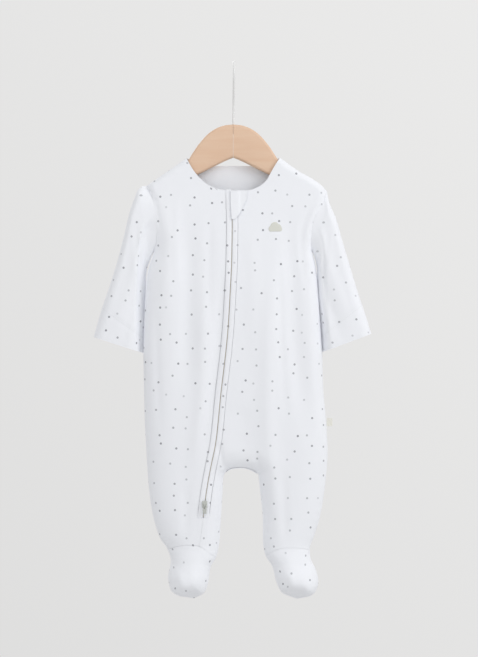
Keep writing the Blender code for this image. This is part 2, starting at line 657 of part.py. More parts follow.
def gusset(look):
    """The pointed oval under the crotch, just below the edges of the front and the back."""
    arch = arch_points()
    open_edge = arch.copy()
    front, rear = depth(open_edge, FRONT), depth(open_edge, BACK)
    front[[0, -1]] = rear[[0, -1]] = 0.0
    x = np.linspace(ARCH_LEFT[0] + 2.0, ARCH_RIGHT[0] - 2.0, 12)
    drop = np.interp(x, arch[:, 0], arch[:, 1]) + GAP
    near, far = (np.interp(x, arch[:, 0], side) for side in (front, rear))
    share = np.array([-1, -0.6, 0, 0.6, 1])
    y = np.where(share[None] < 0, share[None] * near[:, None], share[None] * far[:, None])
    top = np.stack([np.repeat(x[:, None], 5, 1), y, -np.repeat(drop[:, None], 5, 1)], axis=2).reshape(-1, 3)
    low = top - [0, 0, WALL]
    return solid("crotch_gusset", low, top, net_quads(len(x), 5, True), look)


def on_front(x, drop, lift):
    """Points lifted above the front of the form."""
    flat = np.stack([x.ravel(), drop.ravel()], axis=1)
    y = middle(flat[:, 1]) - depth(flat, FRONT) - np.broadcast_to(lift, x.shape).ravel()
    return np.stack([flat[:, 0], y, -flat[:, 1]], axis=1)


def strip(name, drops, edges, lift, thickness, look):
    """A narrow strip lying along the zip: edges are offsets from its line, lift is over the front."""
    drops = np.asarray(drops, float)
    centre = zip_edge(drops, 0)[:, 0]
    x = centre[:, None] + np.asarray(edges)[None]
    outer = on_front(x, np.repeat(drops[:, None], len(edges), 1), np.asarray(lift)[None])
    inner = outer + [0, thickness, 0]
    return solid(name, outer, inner, net_quads(len(drops), len(edges)), look)


WELT_PROUD, WELT_THICK = 1.0, 2.0
WELT_IN, WELT_OUT = 1.0, 7.0
TAPE_DEEP, TAPE_THICK = 1.75, 0.8
GUARD_THICK = 1.2
GUARD = table("drop left right", (160.3, -0.8, 20.6), (169, -1.2, 19.4), (177, -1.2, 16.0), (187, -1.0, 10.6), (196, -0.6, 4.6))


def zip_parts(cloth, tape):
    """The welts, the tape between them and the guard over the top end."""
    rows = np.linspace(0, 1, 26)
    for name, side, start in (("zip_welt_left", -1, 158.6), ("zip_welt_right", 1, 160.4)):
        edges = sorted((side * WELT_IN, side * (WELT_IN + WELT_OUT) / 2, side * WELT_OUT))
        lift = [WELT_PROUD - 0.4, WELT_PROUD, WELT_PROUD - 0.4]
        strip(name, start + rows * (ZIP_END - 0.6 - start), edges, lift, WELT_THICK, cloth)
    strip("zip_tape", 162.0 + rows * (ZIP_END - 1.0 - 162.0), (-6.8, 0, 6.8), [-TAPE_DEEP] * 3, TAPE_THICK, tape)
    drops = GUARD["drop"]
    share = np.array([0, 0.3, 0.55, 0.8, 1])
    offset = GUARD["left"][:, None] + share[None] * (GUARD["right"] - GUARD["left"])[:, None]
    x = zip_edge(drops, 0)[:, :1] + offset
    over = np.clip((WELT_OUT + 4.5 - offset) / 3.5, 0, 1)
    lift = GUARD_THICK + GAP + 0.1 + WELT_PROUD * over
    outer = on_front(x, np.repeat(drops[:, None], len(share), 1), lift)
    solid("zip_guard", outer, outer + [0, GUARD_THICK, 0], net_quads(len(drops), len(share)), cloth)


# Slider: its body lies over the welts, with a bail on its front that the pull tab hangs from.
SLIDER_DROP, SLIDER_WIDE, SLIDER_TALL, SLIDER_THICK = 550.0, 6.2, 9.0, 2.2
BAIL_WIDE, BAIL_BAR, BAIL_HOLE_TALL, BAIL_HOLE_DEEP = 1.4, 0.8, 2.4, 1.5
PULL_BAR, PULL_WIDE, PULL_LONG, PULL_HOLE = 0.8, 4.6, 10.4, 3.5


def box(name, low, high, look, bevel=0.0):
    """A block between two corners, with its edges rounded."""
    mesh = bmesh.new()
    bmesh.ops.create_cube(mesh, size=1.0)
    for corner in mesh.verts:
        corner.co = [(low[k] + (corner.co[k] + 0.5) * (high[k] - low[k])) * MM for k in range(3)]
    if bevel:
        bmesh.ops.bevel(mesh, geom=mesh.edges[:], offset=bevel * MM, segments=2, profile=0.5, affect="EDGES")
    data = bpy.data.meshes.new(name)
    mesh.to_mesh(data)
    mesh.free()
    data.materials.append(look)
    made = bpy.data.objects.new(name, data)
    bpy.context.collection.objects.link(made)
    return made


def cut(target, tool, operation):
    """Join or cut with a guide object that isn't itself a piece."""
    tool.hide_render = True
    tool.display_type = "WIRE"
    step = target.modifiers.new(operation.lower(), "BOOLEAN")
    step.operation = operation
    step.solver = "EXACT"
    step.object = tool


def slider_and_pull(metal):
    """The slider with its bail, and the pull tab with its origin on the hinge line."""
    x = zip_edge([SLIDER_DROP], 0)[0][0]
    drops = np.linspace(SLIDER_DROP - SLIDER_TALL / 2, SLIDER_DROP + SLIDER_TALL / 2 + PULL_LONG, 9)
    offsets = np.linspace(-SLIDER_WIDE / 2, SLIDER_WIDE / 2, 5)
    cover = on_front(x + np.repeat(offsets[None], 9, 0), np.repeat(drops[:, None], 5, 1), WELT_PROUD)
    rear = cover[:, 1].min() - GAP
    face = rear - SLIDER_THICK
    z = -SLIDER_DROP
    body = box(
        "zip_slider",
        (x - SLIDER_WIDE / 2, face, z - SLIDER_TALL / 2),
        (x + SLIDER_WIDE / 2, rear, z + SLIDER_TALL / 2),
        metal,
        0.7,
    )
    hole_low = z - 2.0
    bail = box(
        "bail_guide",
        (x - BAIL_WIDE / 2, face - BAIL_HOLE_DEEP - BAIL_BAR, hole_low - BAIL_BAR),
        (x + BAIL_WIDE / 2, face + 0.6, hole_low + BAIL_HOLE_TALL + BAIL_BAR),
        metal,
    )
    hole = box(
        "bail_hole_guide",
        (x - BAIL_WIDE, face - BAIL_HOLE_DEEP, hole_low),
        (x + BAIL_WIDE, face, hole_low + BAIL_HOLE_TALL),
        metal,
    )
    cut(bail, hole, "DIFFERENCE")
    cut(body, bail, "UNION")
    hinge_y = face - GAP - PULL_BAR / 2
    hinge_z = hole_low + GAP + PULL_BAR / 2
    pull = box(
        "zip_pull",
        (x - PULL_WIDE / 2, hinge_y - PULL_BAR / 2, hinge_z + PULL_BAR / 2 - PULL_LONG),
        (x + PULL_WIDE / 2, hinge_y + PULL_BAR / 2, hinge_z + PULL_BAR / 2),
        metal,
        0.2,
    )
    window = box(
        "pull_window_guide",
        (x - BAIL_WIDE / 2 - GAP - 0.05, hinge_y - 2, hinge_z - PULL_BAR / 2 - PULL_HOLE),
        (x + BAIL_WIDE / 2 + GAP + 0.05, hinge_y + 2, hinge_z - PULL_BAR / 2),
        metal,
    )
    cut(pull, window, "DIFFERENCE")
    hinge = bpy.data.objects.new("zip_pull_hinge", None)
    hinge.location = (x * MM, hinge_y * MM, hinge_z * MM)
    bpy.context.collection.objects.link(hinge)
    for part in (pull, window):
        part.data.transform(Matrix.Translation(-hinge.location))
        part.parent = hinge


# Hanger: two arms of one outline each, 11 mm thick, mitred at the centre.
MITRE = -1.25
WOOD_HALF = 5.0
WOOD_UNDER = 3.0  # from the shoulder seam down to the wood
WOOD_NECK_DIP = 1.8  # and a little more where the cloth closes at the neck corner
ARM_END = 95.0
ARM_TOP = Path((MITRE, 77.1), (-10.0, 77.9), (-19.5, 80.6), (-27.5, 85.0), (-34.4, 90.5), (-46.0, 104.0), (-53.0, 114.6))
ARM_UNDER = Path((MITRE, 118.6), (-8.0, 121.2), (-46.8, 140.4), (-72.0, 152.0), (-92.0, 161.5))
WIRE, HOOK_INSIDE = 1.5, 15.0
SHANK_IN_WOOD = 12.0


def arm(name, side, look):
    """One arm: its outline pushed through, its rims rounded, with half of the hook's hole."""
    shoulder = SHOULDER_LEFT if side < 0 else SHOULDER_RIGHT
    mirror = (lambda points: points) if side < 0 else (lambda points: points * [-1, 1] + [2 * MITRE, 0])
    crown = mirror(ARM_TOP.at(np.linspace(0, 1, 10)))
    seam = shoulder.at(np.linspace(0, 1, 14))
    along = unit(np.gradient(seam, axis=0))
    down = np.stack([-along[:, 1], along[:, 0]], axis=1)
    down *= np.sign(down[:, 1:])
    travel = np.linalg.norm(seam - seam[0], axis=1)
    seam = seam + (WOOD_UNDER + WOOD_NECK_DIP * np.exp(-((travel / 8.0) ** 2)))[:, None] * down
    seam = seam[abs(seam[:, 0]) < ARM_END]
    under = mirror(ARM_UNDER.at(np.linspace(0, 1, 9)))
    end = seam[-1]
    tip = [[end[0] + side * 1.6, end[1] + 4.0], [end[0] + side * 1.0, end[1] + 9.5]]
    outline = np.vstack([crown, seam[1:], tip, under[::-1]])
    outline[0, 0] = outline[-1, 0] = MITRE + side * GAP / 2
    mesh = bmesh.new()
    ring = [mesh.verts.new((x * MM, -WOOD_HALF * MM, -drop * MM)) for x, drop in outline]
    face = mesh.faces.new(ring)
    pushed = bmesh.ops.extrude_face_region(mesh, geom=[face])
    for item in pushed["geom"]:
        if isinstance(item, bmesh.types.BMVert):
            item.co.y = WOOD_HALF * MM
    bmesh.ops.recalc_face_normals(mesh, faces=mesh.faces[:])
    mitre = (MITRE + side * GAP / 2) * MM
    rims = [
        e for e in mesh.edges
        if abs(e.verts[0].co.y - e.verts[1].co.y) < 1e-7
        and not all(abs(v.co.x - mitre) < 1e-6 for v in e.verts)
    ]
    bmesh.ops.bevel(mesh, geom=rims, offset=3.8 * MM, segments=3, profile=0.5, affect="EDGES")
    data = bpy.data.meshes.new(name)
    mesh.to_mesh(data)
    mesh.free()
    data.materials.append(look)
    made = bpy.data.objects.new(name, data)
    bpy.context.collection.objects.link(made)
    cut(made, bpy.data.objects["shank_hole_guide"], "DIFFERENCE")
    return made


def hook(look):
    """The wire: up from the wood, forward round the rail's place, over the top and down behind."""
    radius = HOOK_INSIDE + WIRE
    centre = -HOOK_INSIDE
    low = -ARM_TOP.points[0][1] - SHANK_IN_WOOD
    shank = [(0.0, z) for z in np.linspace(low, -58.0, 5)]
    sweep = np.linspace(0, 1, 9)[1:-1]
    bend = [(-radius * s * s * (3 - 2 * s), -58.0 + (centre + 58.0) * s) for s in sweep]
    arc = [(-radius * math.cos(a), centre + radius * math.sin(a)) for a in np.linspace(0, math.pi, 17)]
    end = [(radius, centre - 5.0), (radius - 0.6, centre - 9.0)]
    route = shank + bend + arc + end
    curve = bpy.data.curves.new("hanger_hook", "CURVE")
    curve.dimensions = "3D"
    curve.bevel_depth = WIRE * MM
    curve.bevel_resolution = 2
    curve.use_fill_caps = True
    line = curve.splines.new("POLY")
    line.points.add(len(route) - 1)
    for point, (y, z) in zip(line.points, route):
        lean = MITRE * np.clip(z / low, 0, 1)
        point.co = (lean * MM, y * MM, z * MM, 1)
    curve.materials.append(look)
    made = bpy.data.objects.new("hanger_hook", curve)
    bpy.context.collection.objects.link(made)
    top = -ARM_TOP.points[0][1]
    box_low = (MITRE - WIRE - GAP, -WIRE - GAP, top - SHANK_IN_WOOD - 0.6)
    guide = box("shank_hole_guide", box_low, (MITRE + WIRE + GAP, WIRE + GAP, top + 3), look)
    guide.hide_render = True
    guide.display_type = "WIRE"


LABEL_DROP, LABEL_TALL, LABEL_OUT, LABEL_THICK = 449.0, 10.0, 7.0, 1.0


def side_label(look):
    """A small blank loop in the right side seam."""
    x = SIDE_RIGHT.at(SIDE_RIGHT.share(LABEL_DROP + LABEL_TALL / 2))[0] + GAP + 0.1
    z = -LABEL_DROP
    low = (x, -LABEL_THICK / 2, z - LABEL_TALL / 2)
    high = (x + LABEL_OUT, LABEL_THICK / 2, z + LABEL_TALL / 2)
    box("side_label", low, high, look, 0.3)


def main():
    """Build every piece."""
    for item in list(bpy.data.objects):
        bpy.data.objects.remove(item)
    jersey = material("cotton_jersey", (0.87, 0.90, 0.93), 0.9)
    tape = material("zip_tape", (0.80, 0.78, 0.74), 0.7)
    metal = material("painted_zinc", (0.55, 0.57, 0.54), 0.4, 0.3)
    beech = material("beech", (0.72, 0.53, 0.40), 0.5)
    wire = material("white_painted_wire", (0.85, 0.85, 0.85), 0.35)
    front_left(jersey)
    front_right(jersey)
    back(jersey)
    sleeve("sleeve_left", SIDE_LEFT, TIP_LEFT, SLEEVE_LEFT, jersey)
    sleeve("sleeve_right", SIDE_RIGHT, TIP_RIGHT, SLEEVE_RIGHT, jersey)
    gusset(jersey)
    for face, kind in ((FRONT, "foot_top"), (BACK, "sole")):
        foot(f"{kind}_left", face, SIDE_LEFT, 607, INNER_LEFT, 617, ANKLE_LEFT, jersey)
        foot(f"{kind}_right", face, INNER_RIGHT, 615, SIDE_RIGHT, 608, ANKLE_RIGHT, jersey)
    zip_parts(jersey, tape)
    slider_and_pull(metal)
    side_label(jersey)
    hook(wire)
    arm("hanger_arm_left", -1, beech)
    arm("hanger_arm_right", 1, beech)


main()
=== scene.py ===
"""Looks of a footed baby sleepsuit on its small beech hanger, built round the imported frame.

Metres, +Z up; the front of the garment faces -Y and the origin is the inside top of the hook. Left and
right are as seen from the front. Tables are in millimetres: x is across, drop is down from the origin.
"""

from __future__ import annotations

import logging
import math
from dataclasses import dataclass
from enum import Enum

import bmesh
import bpy
import mathutils
import numpy as np
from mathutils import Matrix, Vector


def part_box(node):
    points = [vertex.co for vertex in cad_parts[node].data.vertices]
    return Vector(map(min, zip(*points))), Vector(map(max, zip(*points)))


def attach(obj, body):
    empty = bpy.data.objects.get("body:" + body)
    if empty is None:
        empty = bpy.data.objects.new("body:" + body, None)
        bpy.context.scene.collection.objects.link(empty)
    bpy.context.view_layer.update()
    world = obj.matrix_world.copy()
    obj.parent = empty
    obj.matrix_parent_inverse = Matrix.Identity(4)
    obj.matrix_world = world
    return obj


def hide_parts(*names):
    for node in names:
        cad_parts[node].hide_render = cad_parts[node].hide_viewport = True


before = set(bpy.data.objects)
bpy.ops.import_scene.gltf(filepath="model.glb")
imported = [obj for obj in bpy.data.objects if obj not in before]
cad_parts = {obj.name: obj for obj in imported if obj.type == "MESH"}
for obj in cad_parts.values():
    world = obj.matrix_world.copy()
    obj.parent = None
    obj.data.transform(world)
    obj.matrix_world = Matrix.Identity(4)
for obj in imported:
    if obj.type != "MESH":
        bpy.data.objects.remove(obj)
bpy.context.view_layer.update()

LOG = logging.getLogger("sleepsuit")
MM = 0.001
CLOTH = 1.0  # thickness of interlock jersey with its soft surface
SEAM = 0.06  # half the space between two sewn edges
FOLDED_UNDER = 0.3  # from the crotch's edges down to the gusset
GARMENT, PULL = "garment", "zip_pull"
ARMS = ["hanger_arm_left", "hanger_arm_right"]
Points = np.ndarray
Quads = list[tuple[int, ...]]
Looks = list[bpy.types.Material]
Table = dict[str, Points]


class Face(Enum):
    """The two sides of the flat-hanging garment."""

    FRONT = -1
    BACK = 1


class Side(Enum):
    """Left and right, as seen from the front."""

    LEFT = -1
    RIGHT = 1


def table(names: str, *rows: tuple) -> Table:
    """Read a short table.

    Args:
        names: the column names, with spaces between them.
        rows: one tuple for each row.

    Returns:
        Each column's values by its name.
    """
    return dict(zip(names.split(), np.array(rows, float).T))


def smooth(knots: Points, values: Points, at: Points) -> Points:
    """Read a smooth curve through a table's rows, with no overshoot.

    Args:
        knots: rising places of the rows.
        values: the rows' values.
        at: where to read.

    Returns:
        The values there.
    """
    at = np.clip(at, knots[0], knots[-1])
    step = np.diff(knots)
    rise = np.diff(values) / step
    both = rise[:-1] * rise[1:]
    total = np.where(both > 0, rise[:-1] + rise[1:], 1.0)
    slope = np.concatenate([rise[:1], np.where(both > 0, 2 * both / total, 0.0), rise[-1:]])
    i = np.clip(np.searchsorted(knots, at, side="right") - 1, 0, len(knots) - 2)
    t = (at - knots[i]) / step[i]
    return (
        values[i] * (1 + 2 * t) * (1 - t) ** 2
        + values[i + 1] * t**2 * (3 - 2 * t)
        + step[i] * (slope[i] * t * (1 - t) ** 2 + slope[i + 1] * t**2 * (t - 1))
    )


def eased(share: Points) -> Points:
    """A share from 0 to 1 that starts and ends gently."""
    t = np.clip(share, 0, 1)
    return t * t * (3 - 2 * t)


def unit(vectors: Points) -> Points:
    """Vectors of length one."""
    return vectors / np.maximum(np.linalg.norm(vectors, axis=-1, keepdims=True), 1e-9)


def fine(shares: Points, steps: int) -> Points:
    """Shares with a number of even steps between each pair."""
    parts = [np.linspace(a, b, steps, endpoint=False) for a, b in zip(shares, shares[1:])]
    return np.concatenate(parts + [shares[-1:]])


class Path:
    """A smooth line through outline points (x, drop), read by its share of length."""

    def __init__(self, *rows: tuple[float, float]) -> None:
        """Fit the line through its named points."""
        knots = np.array(rows, float)
        chord = np.concatenate([[0], np.cumsum(np.linalg.norm(np.diff(knots, axis=0), axis=1))])
        places = np.linspace(0, chord[-1], 12 * (len(rows) - 1) + 1)
        places = np.unique(np.concatenate([places, chord]))
        self.points = np.stack([smooth(chord, knots[:, k], places) for k in (0, 1)], axis=1)
        steps = np.linalg.norm(np.diff(self.points, axis=0), axis=1)
        self.length = np.concatenate([[0], np.cumsum(steps)])

    def at(self, share: Points) -> Points:
        """Points (x, drop) at shares of the length."""
        reach = np.asarray(share, float) * self.length[-1]
        return np.stack([np.interp(reach, self.length, self.points[:, k]) for k in (0, 1)], axis=-1)

    def between(self, start: float, end: float, rows: Points) -> Points:
        """Points from one drop to another, at shares of the way."""
        first, last = self.share(start), self.share(end)
        return self.at(first + rows * (last - first))

    def share(self, value: float, column: int = 1) -> float:
        """Share of the length where x (column 0) or drop (column 1) first passes a value."""
        side = self.points[:, column] - value
        crossing = np.nonzero(side[:-1] * side[1:] <= 0)[0][0]
        part = side[crossing] / (side[crossing] - side[crossing + 1] or 1.0)
        reach = self.length[crossing] + part * (self.length[crossing + 1] - self.length[crossing])
        return reach / self.length[-1]

    def distance(self, spots: Points) -> tuple[Points, Points]:
        """Distance of each spot (x, drop) from the line, and the nearest place on it."""
        best = np.full(len(spots), np.inf)
        place = np.zeros_like(spots)
        for a, b in zip(self.points, self.points[1:]):
            along = b - a
            t = np.clip((spots - a) @ along / (along @ along), 0, 1)
            near = a + t[:, None] * along
            gap = np.linalg.norm(spots - near, axis=1)
            closer = gap < best
            best[closer] = gap[closer]
            place[closer] = near[closer]
        return best, place


# Outline: shoulder tip, armhole, side seam, ankle and foot, down each side to the toe.
CROTCH = 513.0
TIP_LEFT, TIP_RIGHT = 153.8, 160.0
UNDERARM = 236.0
SIDE_LEFT = Path(
    (-109.4, TIP_LEFT), (-102.0, 171), (-97.6, 186), (-96.6, 205), (-97.6, 225), (-100.4, UNDERARM),
    (-106.6, 255), (-110.3, 277), (-112.6, 330), (-113.4, 361), (-112.2, 434), (-108.8, 501),
    (-106.3, 534), (-101.3, 566), (-92.5, 594), (-83.5, 607), (-79.0, 622), (-82.3, 641),
    (-79.5, 656), (-68.5, 664.5), (-50.0, 667.5),
)
SIDE_RIGHT = Path(
    (115.5, TIP_RIGHT), (111.5, 175), (103.4, 188), (97.3, 205), (96.0, 225), (97.5, UNDERARM),
    (101.0, 250), (103.4, 268), (108.0, 330), (110.0, 361), (111.5, 409), (115.2, 451),
    (116.8, 486), (113.8, 526), (107.5, 566), (100.0, 591), (94.5, 608), (95.5, 619),
    (102.3, 634), (104.8, 648), (100.5, 660), (92.0, 665.5), (77.5, 668.0),
)
# The inner line: up from the left toe, over the crotch and down to the right toe.
ARCH_LEFT, ARCH_RIGHT = (-12.0, CROTCH), (30.0, CROTCH + 1)
INNER_LEFT = Path(
    ARCH_LEFT, (-13.8, 519), (-14.5, 536), (-16.3, 566), (-18.8, 601), (-22.3, 617), (-29.5, 630),
    (-32.3, 648), (-37.5, 661), (-50.0, 667.5),
)
ARCH = Path(ARCH_LEFT, (-8.0, 508.5), (0.0, 505.6), (9.0, 505.0), (18.0, 506.6), (25.5, 510), ARCH_RIGHT)
INNER_RIGHT = Path(
    ARCH_RIGHT, (32.5, 536), (35.8, 571), (36.0, 598), (39.0, 615), (47.8, 629), (52.0, 646),
    (59.5, 660.5), (77.5, 668.0),
)
SHOULDER_LEFT = Path((-59.5, 119.1), (-84.0, 136.0), (-109.4, TIP_LEFT))
SHOULDER_RIGHT = Path((57.1, 118.4), (79.4, 134.5), (98.8, 145.6), (107.5, 151.8), (115.5, TIP_RIGHT))
NECK_FRONT = Path(
    (-59.5, 119.1), (-54.1, 129.5), (-46.8, 140), (-34.4, 151.8), (-22.0, 157.5), (-10.9, 159.8),
    (17.5, 159.8), (30.0, 155.5), (39.8, 148.1), (46.0, 137.0), (57.1, 118.4),
)
NECK_BACK = Path((-59.5, 119.1), (-42.0, 125.4), (-15.0, 128.5), (24.0, 128.2), (43.0, 124.8), (57.1, 118.4))
ANKLE_LEFT = Path((-83.5, 607), (-70.0, 602.5), (-58.8, 600.5), (-45.0, 601.5), (-34.0, 608), (-22.3, 617))
ANKLE_RIGHT = Path((39.0, 615), (48.0, 608.5), (62.0, 604.0), (80.0, 604.5), (94.5, 608))

# Half thickness of the garment, and how wide its rounded edges are.
FORM = table(
    "drop front back middle side inner",
    (118, 8.4, 8.4, 0, 9, 26),
    (150, 8.8, 8.6, 0, 9, 26),
    (185, 10.5, 9.5, 0, 12, 26),
    (236, 14.0, 12.5, 0, 30, 26),
    (290, 17.0, 14.5, 0, 38, 26),
    (430, 18.0, 16.0, 0, 38, 26),
    (513, 18.0, 16.0, 0, 38, 26),
    (560, 19.0, 17.0, 0, 38, 26),
    (600, 20.0, 18.0, 0, 35, 25),
    (622, 24.0, 18.0, -3, 30, 24),
    (642, 30.0, 17.0, -7, 27, 24),
    (668, 31.0, 17.0, -12, 26, 24),
)
ARMHOLE_HALF = 9.5
ARCH_HALF = 8.5

# Largest folds: a soft ridge (+) or trough (-) through three places, out from the cloth.
FOLDS = {
    Face.FRONT: table(
        "top_x top_drop mid_x mid_drop low_x low_drop width height",
        (-86, 165, -84, 230, -88, 330, 9, 1.6),
        (-56, 178, -57, 300, -62, 430, 11, -3.0),
        (-36, 260, -39, 390, -52, 540, 9, 2.4),
        (-14, 240, -22, 370, -42, 500, 7, -2.0),
        (70, 172, 74, 300, 92, 490, 13, -4.5),
        (44, 250, 42, 420, 50, 600, 11, 2.8),
        (98, 250, 100, 340, 106, 470, 7, 1.6),
    ),
    Face.BACK: table(
        "top_x top_drop mid_x mid_drop low_x low_drop width height",
        (-70, 175, -72, 300, -80, 470, 12, -3.0),
        (-30, 190, -34, 330, -46, 560, 12, 2.2),
        (6, 180, 10, 300, 12, 440, 13, -2.4),
        (48, 190, 46, 350, 58, 570, 11, 2.4),
        (80, 200, 82, 330, 88, 480, 10, -2.6),
    ),
}

# Smaller creases and soft dents of the hanging cloth, as in FOLDS.
CREASES = {
    Face.FRONT: table(
        "top_x top_drop mid_x mid_drop low_x low_drop width height",
        (-100, 160, -98, 180, -92, 215, 3.0, -1.6),
        (-104, 166, -101, 178, -97, 196, 1.8, -1.8),
        (110, 163, 93, 217, 99, 290, 3.8, 1.9),
        (101, 163, 84, 217, 89, 290, 4.2, -1.3),
        (-70, 160, -72, 210, -70, 290, 5.0, 0.8),
        (-30, 180, -31, 260, -28, 350, 5.0, -1.0),
        (56, 230, 58, 330, 66, 470, 5.0, -1.1),
        (-98, 300, -96, 380, -92, 470, 5.0, -1.2),
        (20, 190, 24, 300, 26, 400, 9.0, 0.9),
        (8, 420, 10, 455, 14, 500, 14.0, -1.3),
        (-20, 470, -14, 500, -2, 520, 4.0, -1.6),
        (26, 480, 30, 510, 34, 545, 4.0, -1.4),
        (60, 500, 62, 560, 64, 606, 6.0, -1.2),
        (-58, 520, -60, 566, -62, 600, 6.0, -1.2),
        (-70, 628, -66, 642, -58, 660, 5.0, 1.2),
        (64, 628, 70, 642, 78, 662, 5.0, 1.2),
    ),
    Face.BACK: table(
        "top_x top_drop mid_x mid_drop low_x low_drop width height",
        (-98, 162, -94, 190, -88, 230, 3.5, -1.4),
        (98, 162, 92, 190, 86, 232, 3.5, -1.4),
        (-20, 200, -24, 300, -20, 380, 6.0, 1.0),
        (26, 210, 30, 320, 28, 400, 6.0, -1.0),
        (-30, 480, -16, 505, -4, 525, 5.0, -1.6),
        (52, 480, 38, 505, 26, 525, 5.0, -1.6),
        (-62, 520, -58, 560, -56, 600, 7.0, 1.1),
        (66, 520, 68, 560, 66, 600, 7.0, 1.1),
    ),
}


class Form:
    """The shape that the cloth hangs in: depth out from the middle surface, over the outline."""

    SHOULDER_ROUND = 8.5
    RISE, FALL = 0.3, 0.35  # shares of a fold over which it starts and ends
    PUCKER, PUCKER_REACH, PUCKER_START = 0.22, 7.0, 1.5  # the seams' small gathers

    @staticmethod
    def rounded(distance: Points, radius: Points, start: Points = 0.0) -> Points:
        """Fullness at a distance from an edge: start there, 1 from the radius on."""
        t = np.clip(distance / radius, 0, 1)
        return np.sqrt(start**2 + (1 - start**2) * (1 - (1 - t) ** 2))

    @staticmethod
    def armhole(drop: Points, tip: float) -> Points:
        """Half the armhole's width at a drop."""
        t = np.clip((drop - tip) / (UNDERARM - tip), 0, 1)
        return ARMHOLE_HALF * np.sin(math.pi * t) ** 0.6

    @staticmethod
    def arch(x: Points) -> Points:
        """Half the width of the crotch opening that the gusset fills."""
        t = np.clip((x - ARCH_LEFT[0]) / (ARCH_RIGHT[0] - ARCH_LEFT[0]), 0, 1)
        return ARCH_HALF * np.sin(math.pi * t) ** 0.6

    @classmethod
    def folds(cls, x: Points, drop: Points, rows: Table) -> Points:
        """Height of a table's folds, each along a line through three places.

        Args:
            x: across.
            drop: down.
            rows: the table of folds.

        Returns:
            Their summed height, out from the cloth.
        """
        total = np.zeros_like(x)
        for row in zip(*rows.values()):
            top_x, top, mid_x, mid, low_x, low, width, height = row
            path = smooth(np.array([top, mid, low]), np.array([top_x, mid_x, low_x]), drop)
            reach = low - top
            ends = np.clip((drop - top) / (cls.RISE * reach), 0, 1)
            ends = ends * np.clip((low - drop) / (cls.FALL * reach), 0, 1)
            total += height * eased(ends) * np.exp(-(((x - path) / width) ** 2))
        return total

    @classmethod
    def depth(cls, spots: Points, face: Face) -> Points:
        """Distance of the outer surface from the middle surface.

        Args:
            spots: places (x, drop).
            face: the side of the garment.

        Returns:
            The depth at each spot.
        """
        x, drop = spots[:, 0], spots[:, 1]
        base = smooth(FORM["drop"], FORM[face.name.lower()], drop)
        full, calm, seam_gap = np.ones(len(spots)), np.ones(len(spots)), np.full(len(spots), np.inf)
        for line, tip in ((SIDE_LEFT, TIP_LEFT), (SIDE_RIGHT, TIP_RIGHT)):
            gap, place = line.distance(spots)
            radius = smooth(FORM["drop"], FORM["side"], place[:, 1])
            full *= cls.rounded(gap, radius, cls.armhole(place[:, 1], tip) / base)
            calm *= cls.rounded(gap, radius)
            seam_gap = np.minimum(seam_gap, gap)
        radius = smooth(FORM["drop"], FORM["inner"], drop)
        nearest, start = np.full(len(spots), np.inf), np.zeros(len(spots))
        for line in (INNER_LEFT, ARCH, INNER_RIGHT):
            gap, place = line.distance(spots)
            closer = gap < nearest
            nearest[closer] = gap[closer]
            start[closer] = cls.arch(place[closer, 0]) / base[closer] if line is ARCH else 0.0
        full *= cls.rounded(nearest, radius, start)
        calm *= cls.rounded(nearest, radius)
        seam_gap = np.minimum(seam_gap, nearest)
        for line in (SHOULDER_LEFT, SHOULDER_RIGHT):
            gap = line.distance(spots)[0]
            full *= cls.rounded(gap, cls.SHOULDER_ROUND)
            calm *= cls.rounded(gap, 2 * cls.SHOULDER_ROUND)
            seam_gap = np.minimum(seam_gap, gap)
        near = np.exp(-((seam_gap / cls.PUCKER_REACH) ** 2)) * np.clip(seam_gap / cls.PUCKER_START, 0, 1)
        pucker = cls.PUCKER * near * (np.sin(drop * 0.61) + np.sin(drop * 0.97 + 1.3) * np.sin(x * 0.5))
        soft = cls.folds(x, drop, FOLDS[face]) + cls.folds(x, drop, CREASES[face])
        return base * full + soft * calm**2 + pucker

    @staticmethod
    def middle(drop: Points) -> Points:
        """Y of the middle surface: 0, and forward at the toes."""
        return smooth(FORM["drop"], FORM["middle"], drop)


def new_object(name: str, data: bpy.types.ID) -> bpy.types.Object:
    """Put new data into the scene as an object."""
    made = bpy.data.objects.new(name, data)
    bpy.context.scene.collection.objects.link(made)
    return made


def mesh_object(
    name: str, corners: Points, faces: Quads, looks: Looks, uv: Points | None = None
) -> bpy.types.Object:
    """Make a mesh object.

    Args:
        name: the piece.
        corners: points in millimetres.
        faces: corner indexes of each face, outer faces first.
        looks: its materials.
        uv: a flat place in metres for each corner.

    Returns:
        The object, shaded smooth.
    """
    mesh = bpy.data.meshes.new(name)
    mesh.from_pydata((np.array(corners) * MM).tolist(), [], [[int(i) for i in face] for face in faces])
    for look in looks:
        mesh.materials.append(look)
    if uv is not None:
        layer = mesh.uv_layers.new(name="cut")
        loops = np.zeros(len(mesh.loops), np.int32)
        mesh.loops.foreach_get("vertex_index", loops)
        layer.data.foreach_set("uv", np.asarray(uv, np.float32)[loops].ravel())
    mesh.shade_smooth()
    mesh.set_sharp_from_angle(angle=math.radians(60))
    return new_object(name, mesh)


def bmesh_object(
    name: str, source: bmesh.types.BMesh, look: bpy.types.Material, sharp: float
) -> bpy.types.Object:
    """Turn an edited mesh into an object.

    Args:
        name: the piece.
        source: the edited mesh, freed here.
        look: its material.
        sharp: edges bent by more than this many degrees stay sharp.

    Returns:
        The object.
    """
    mesh = bpy.data.meshes.new(name)
    source.to_mesh(mesh)
    source.free()
    mesh.materials.append(look)
    mesh.shade_smooth()
    mesh.set_sharp_from_angle(angle=math.radians(sharp))
    return new_object(name, mesh)


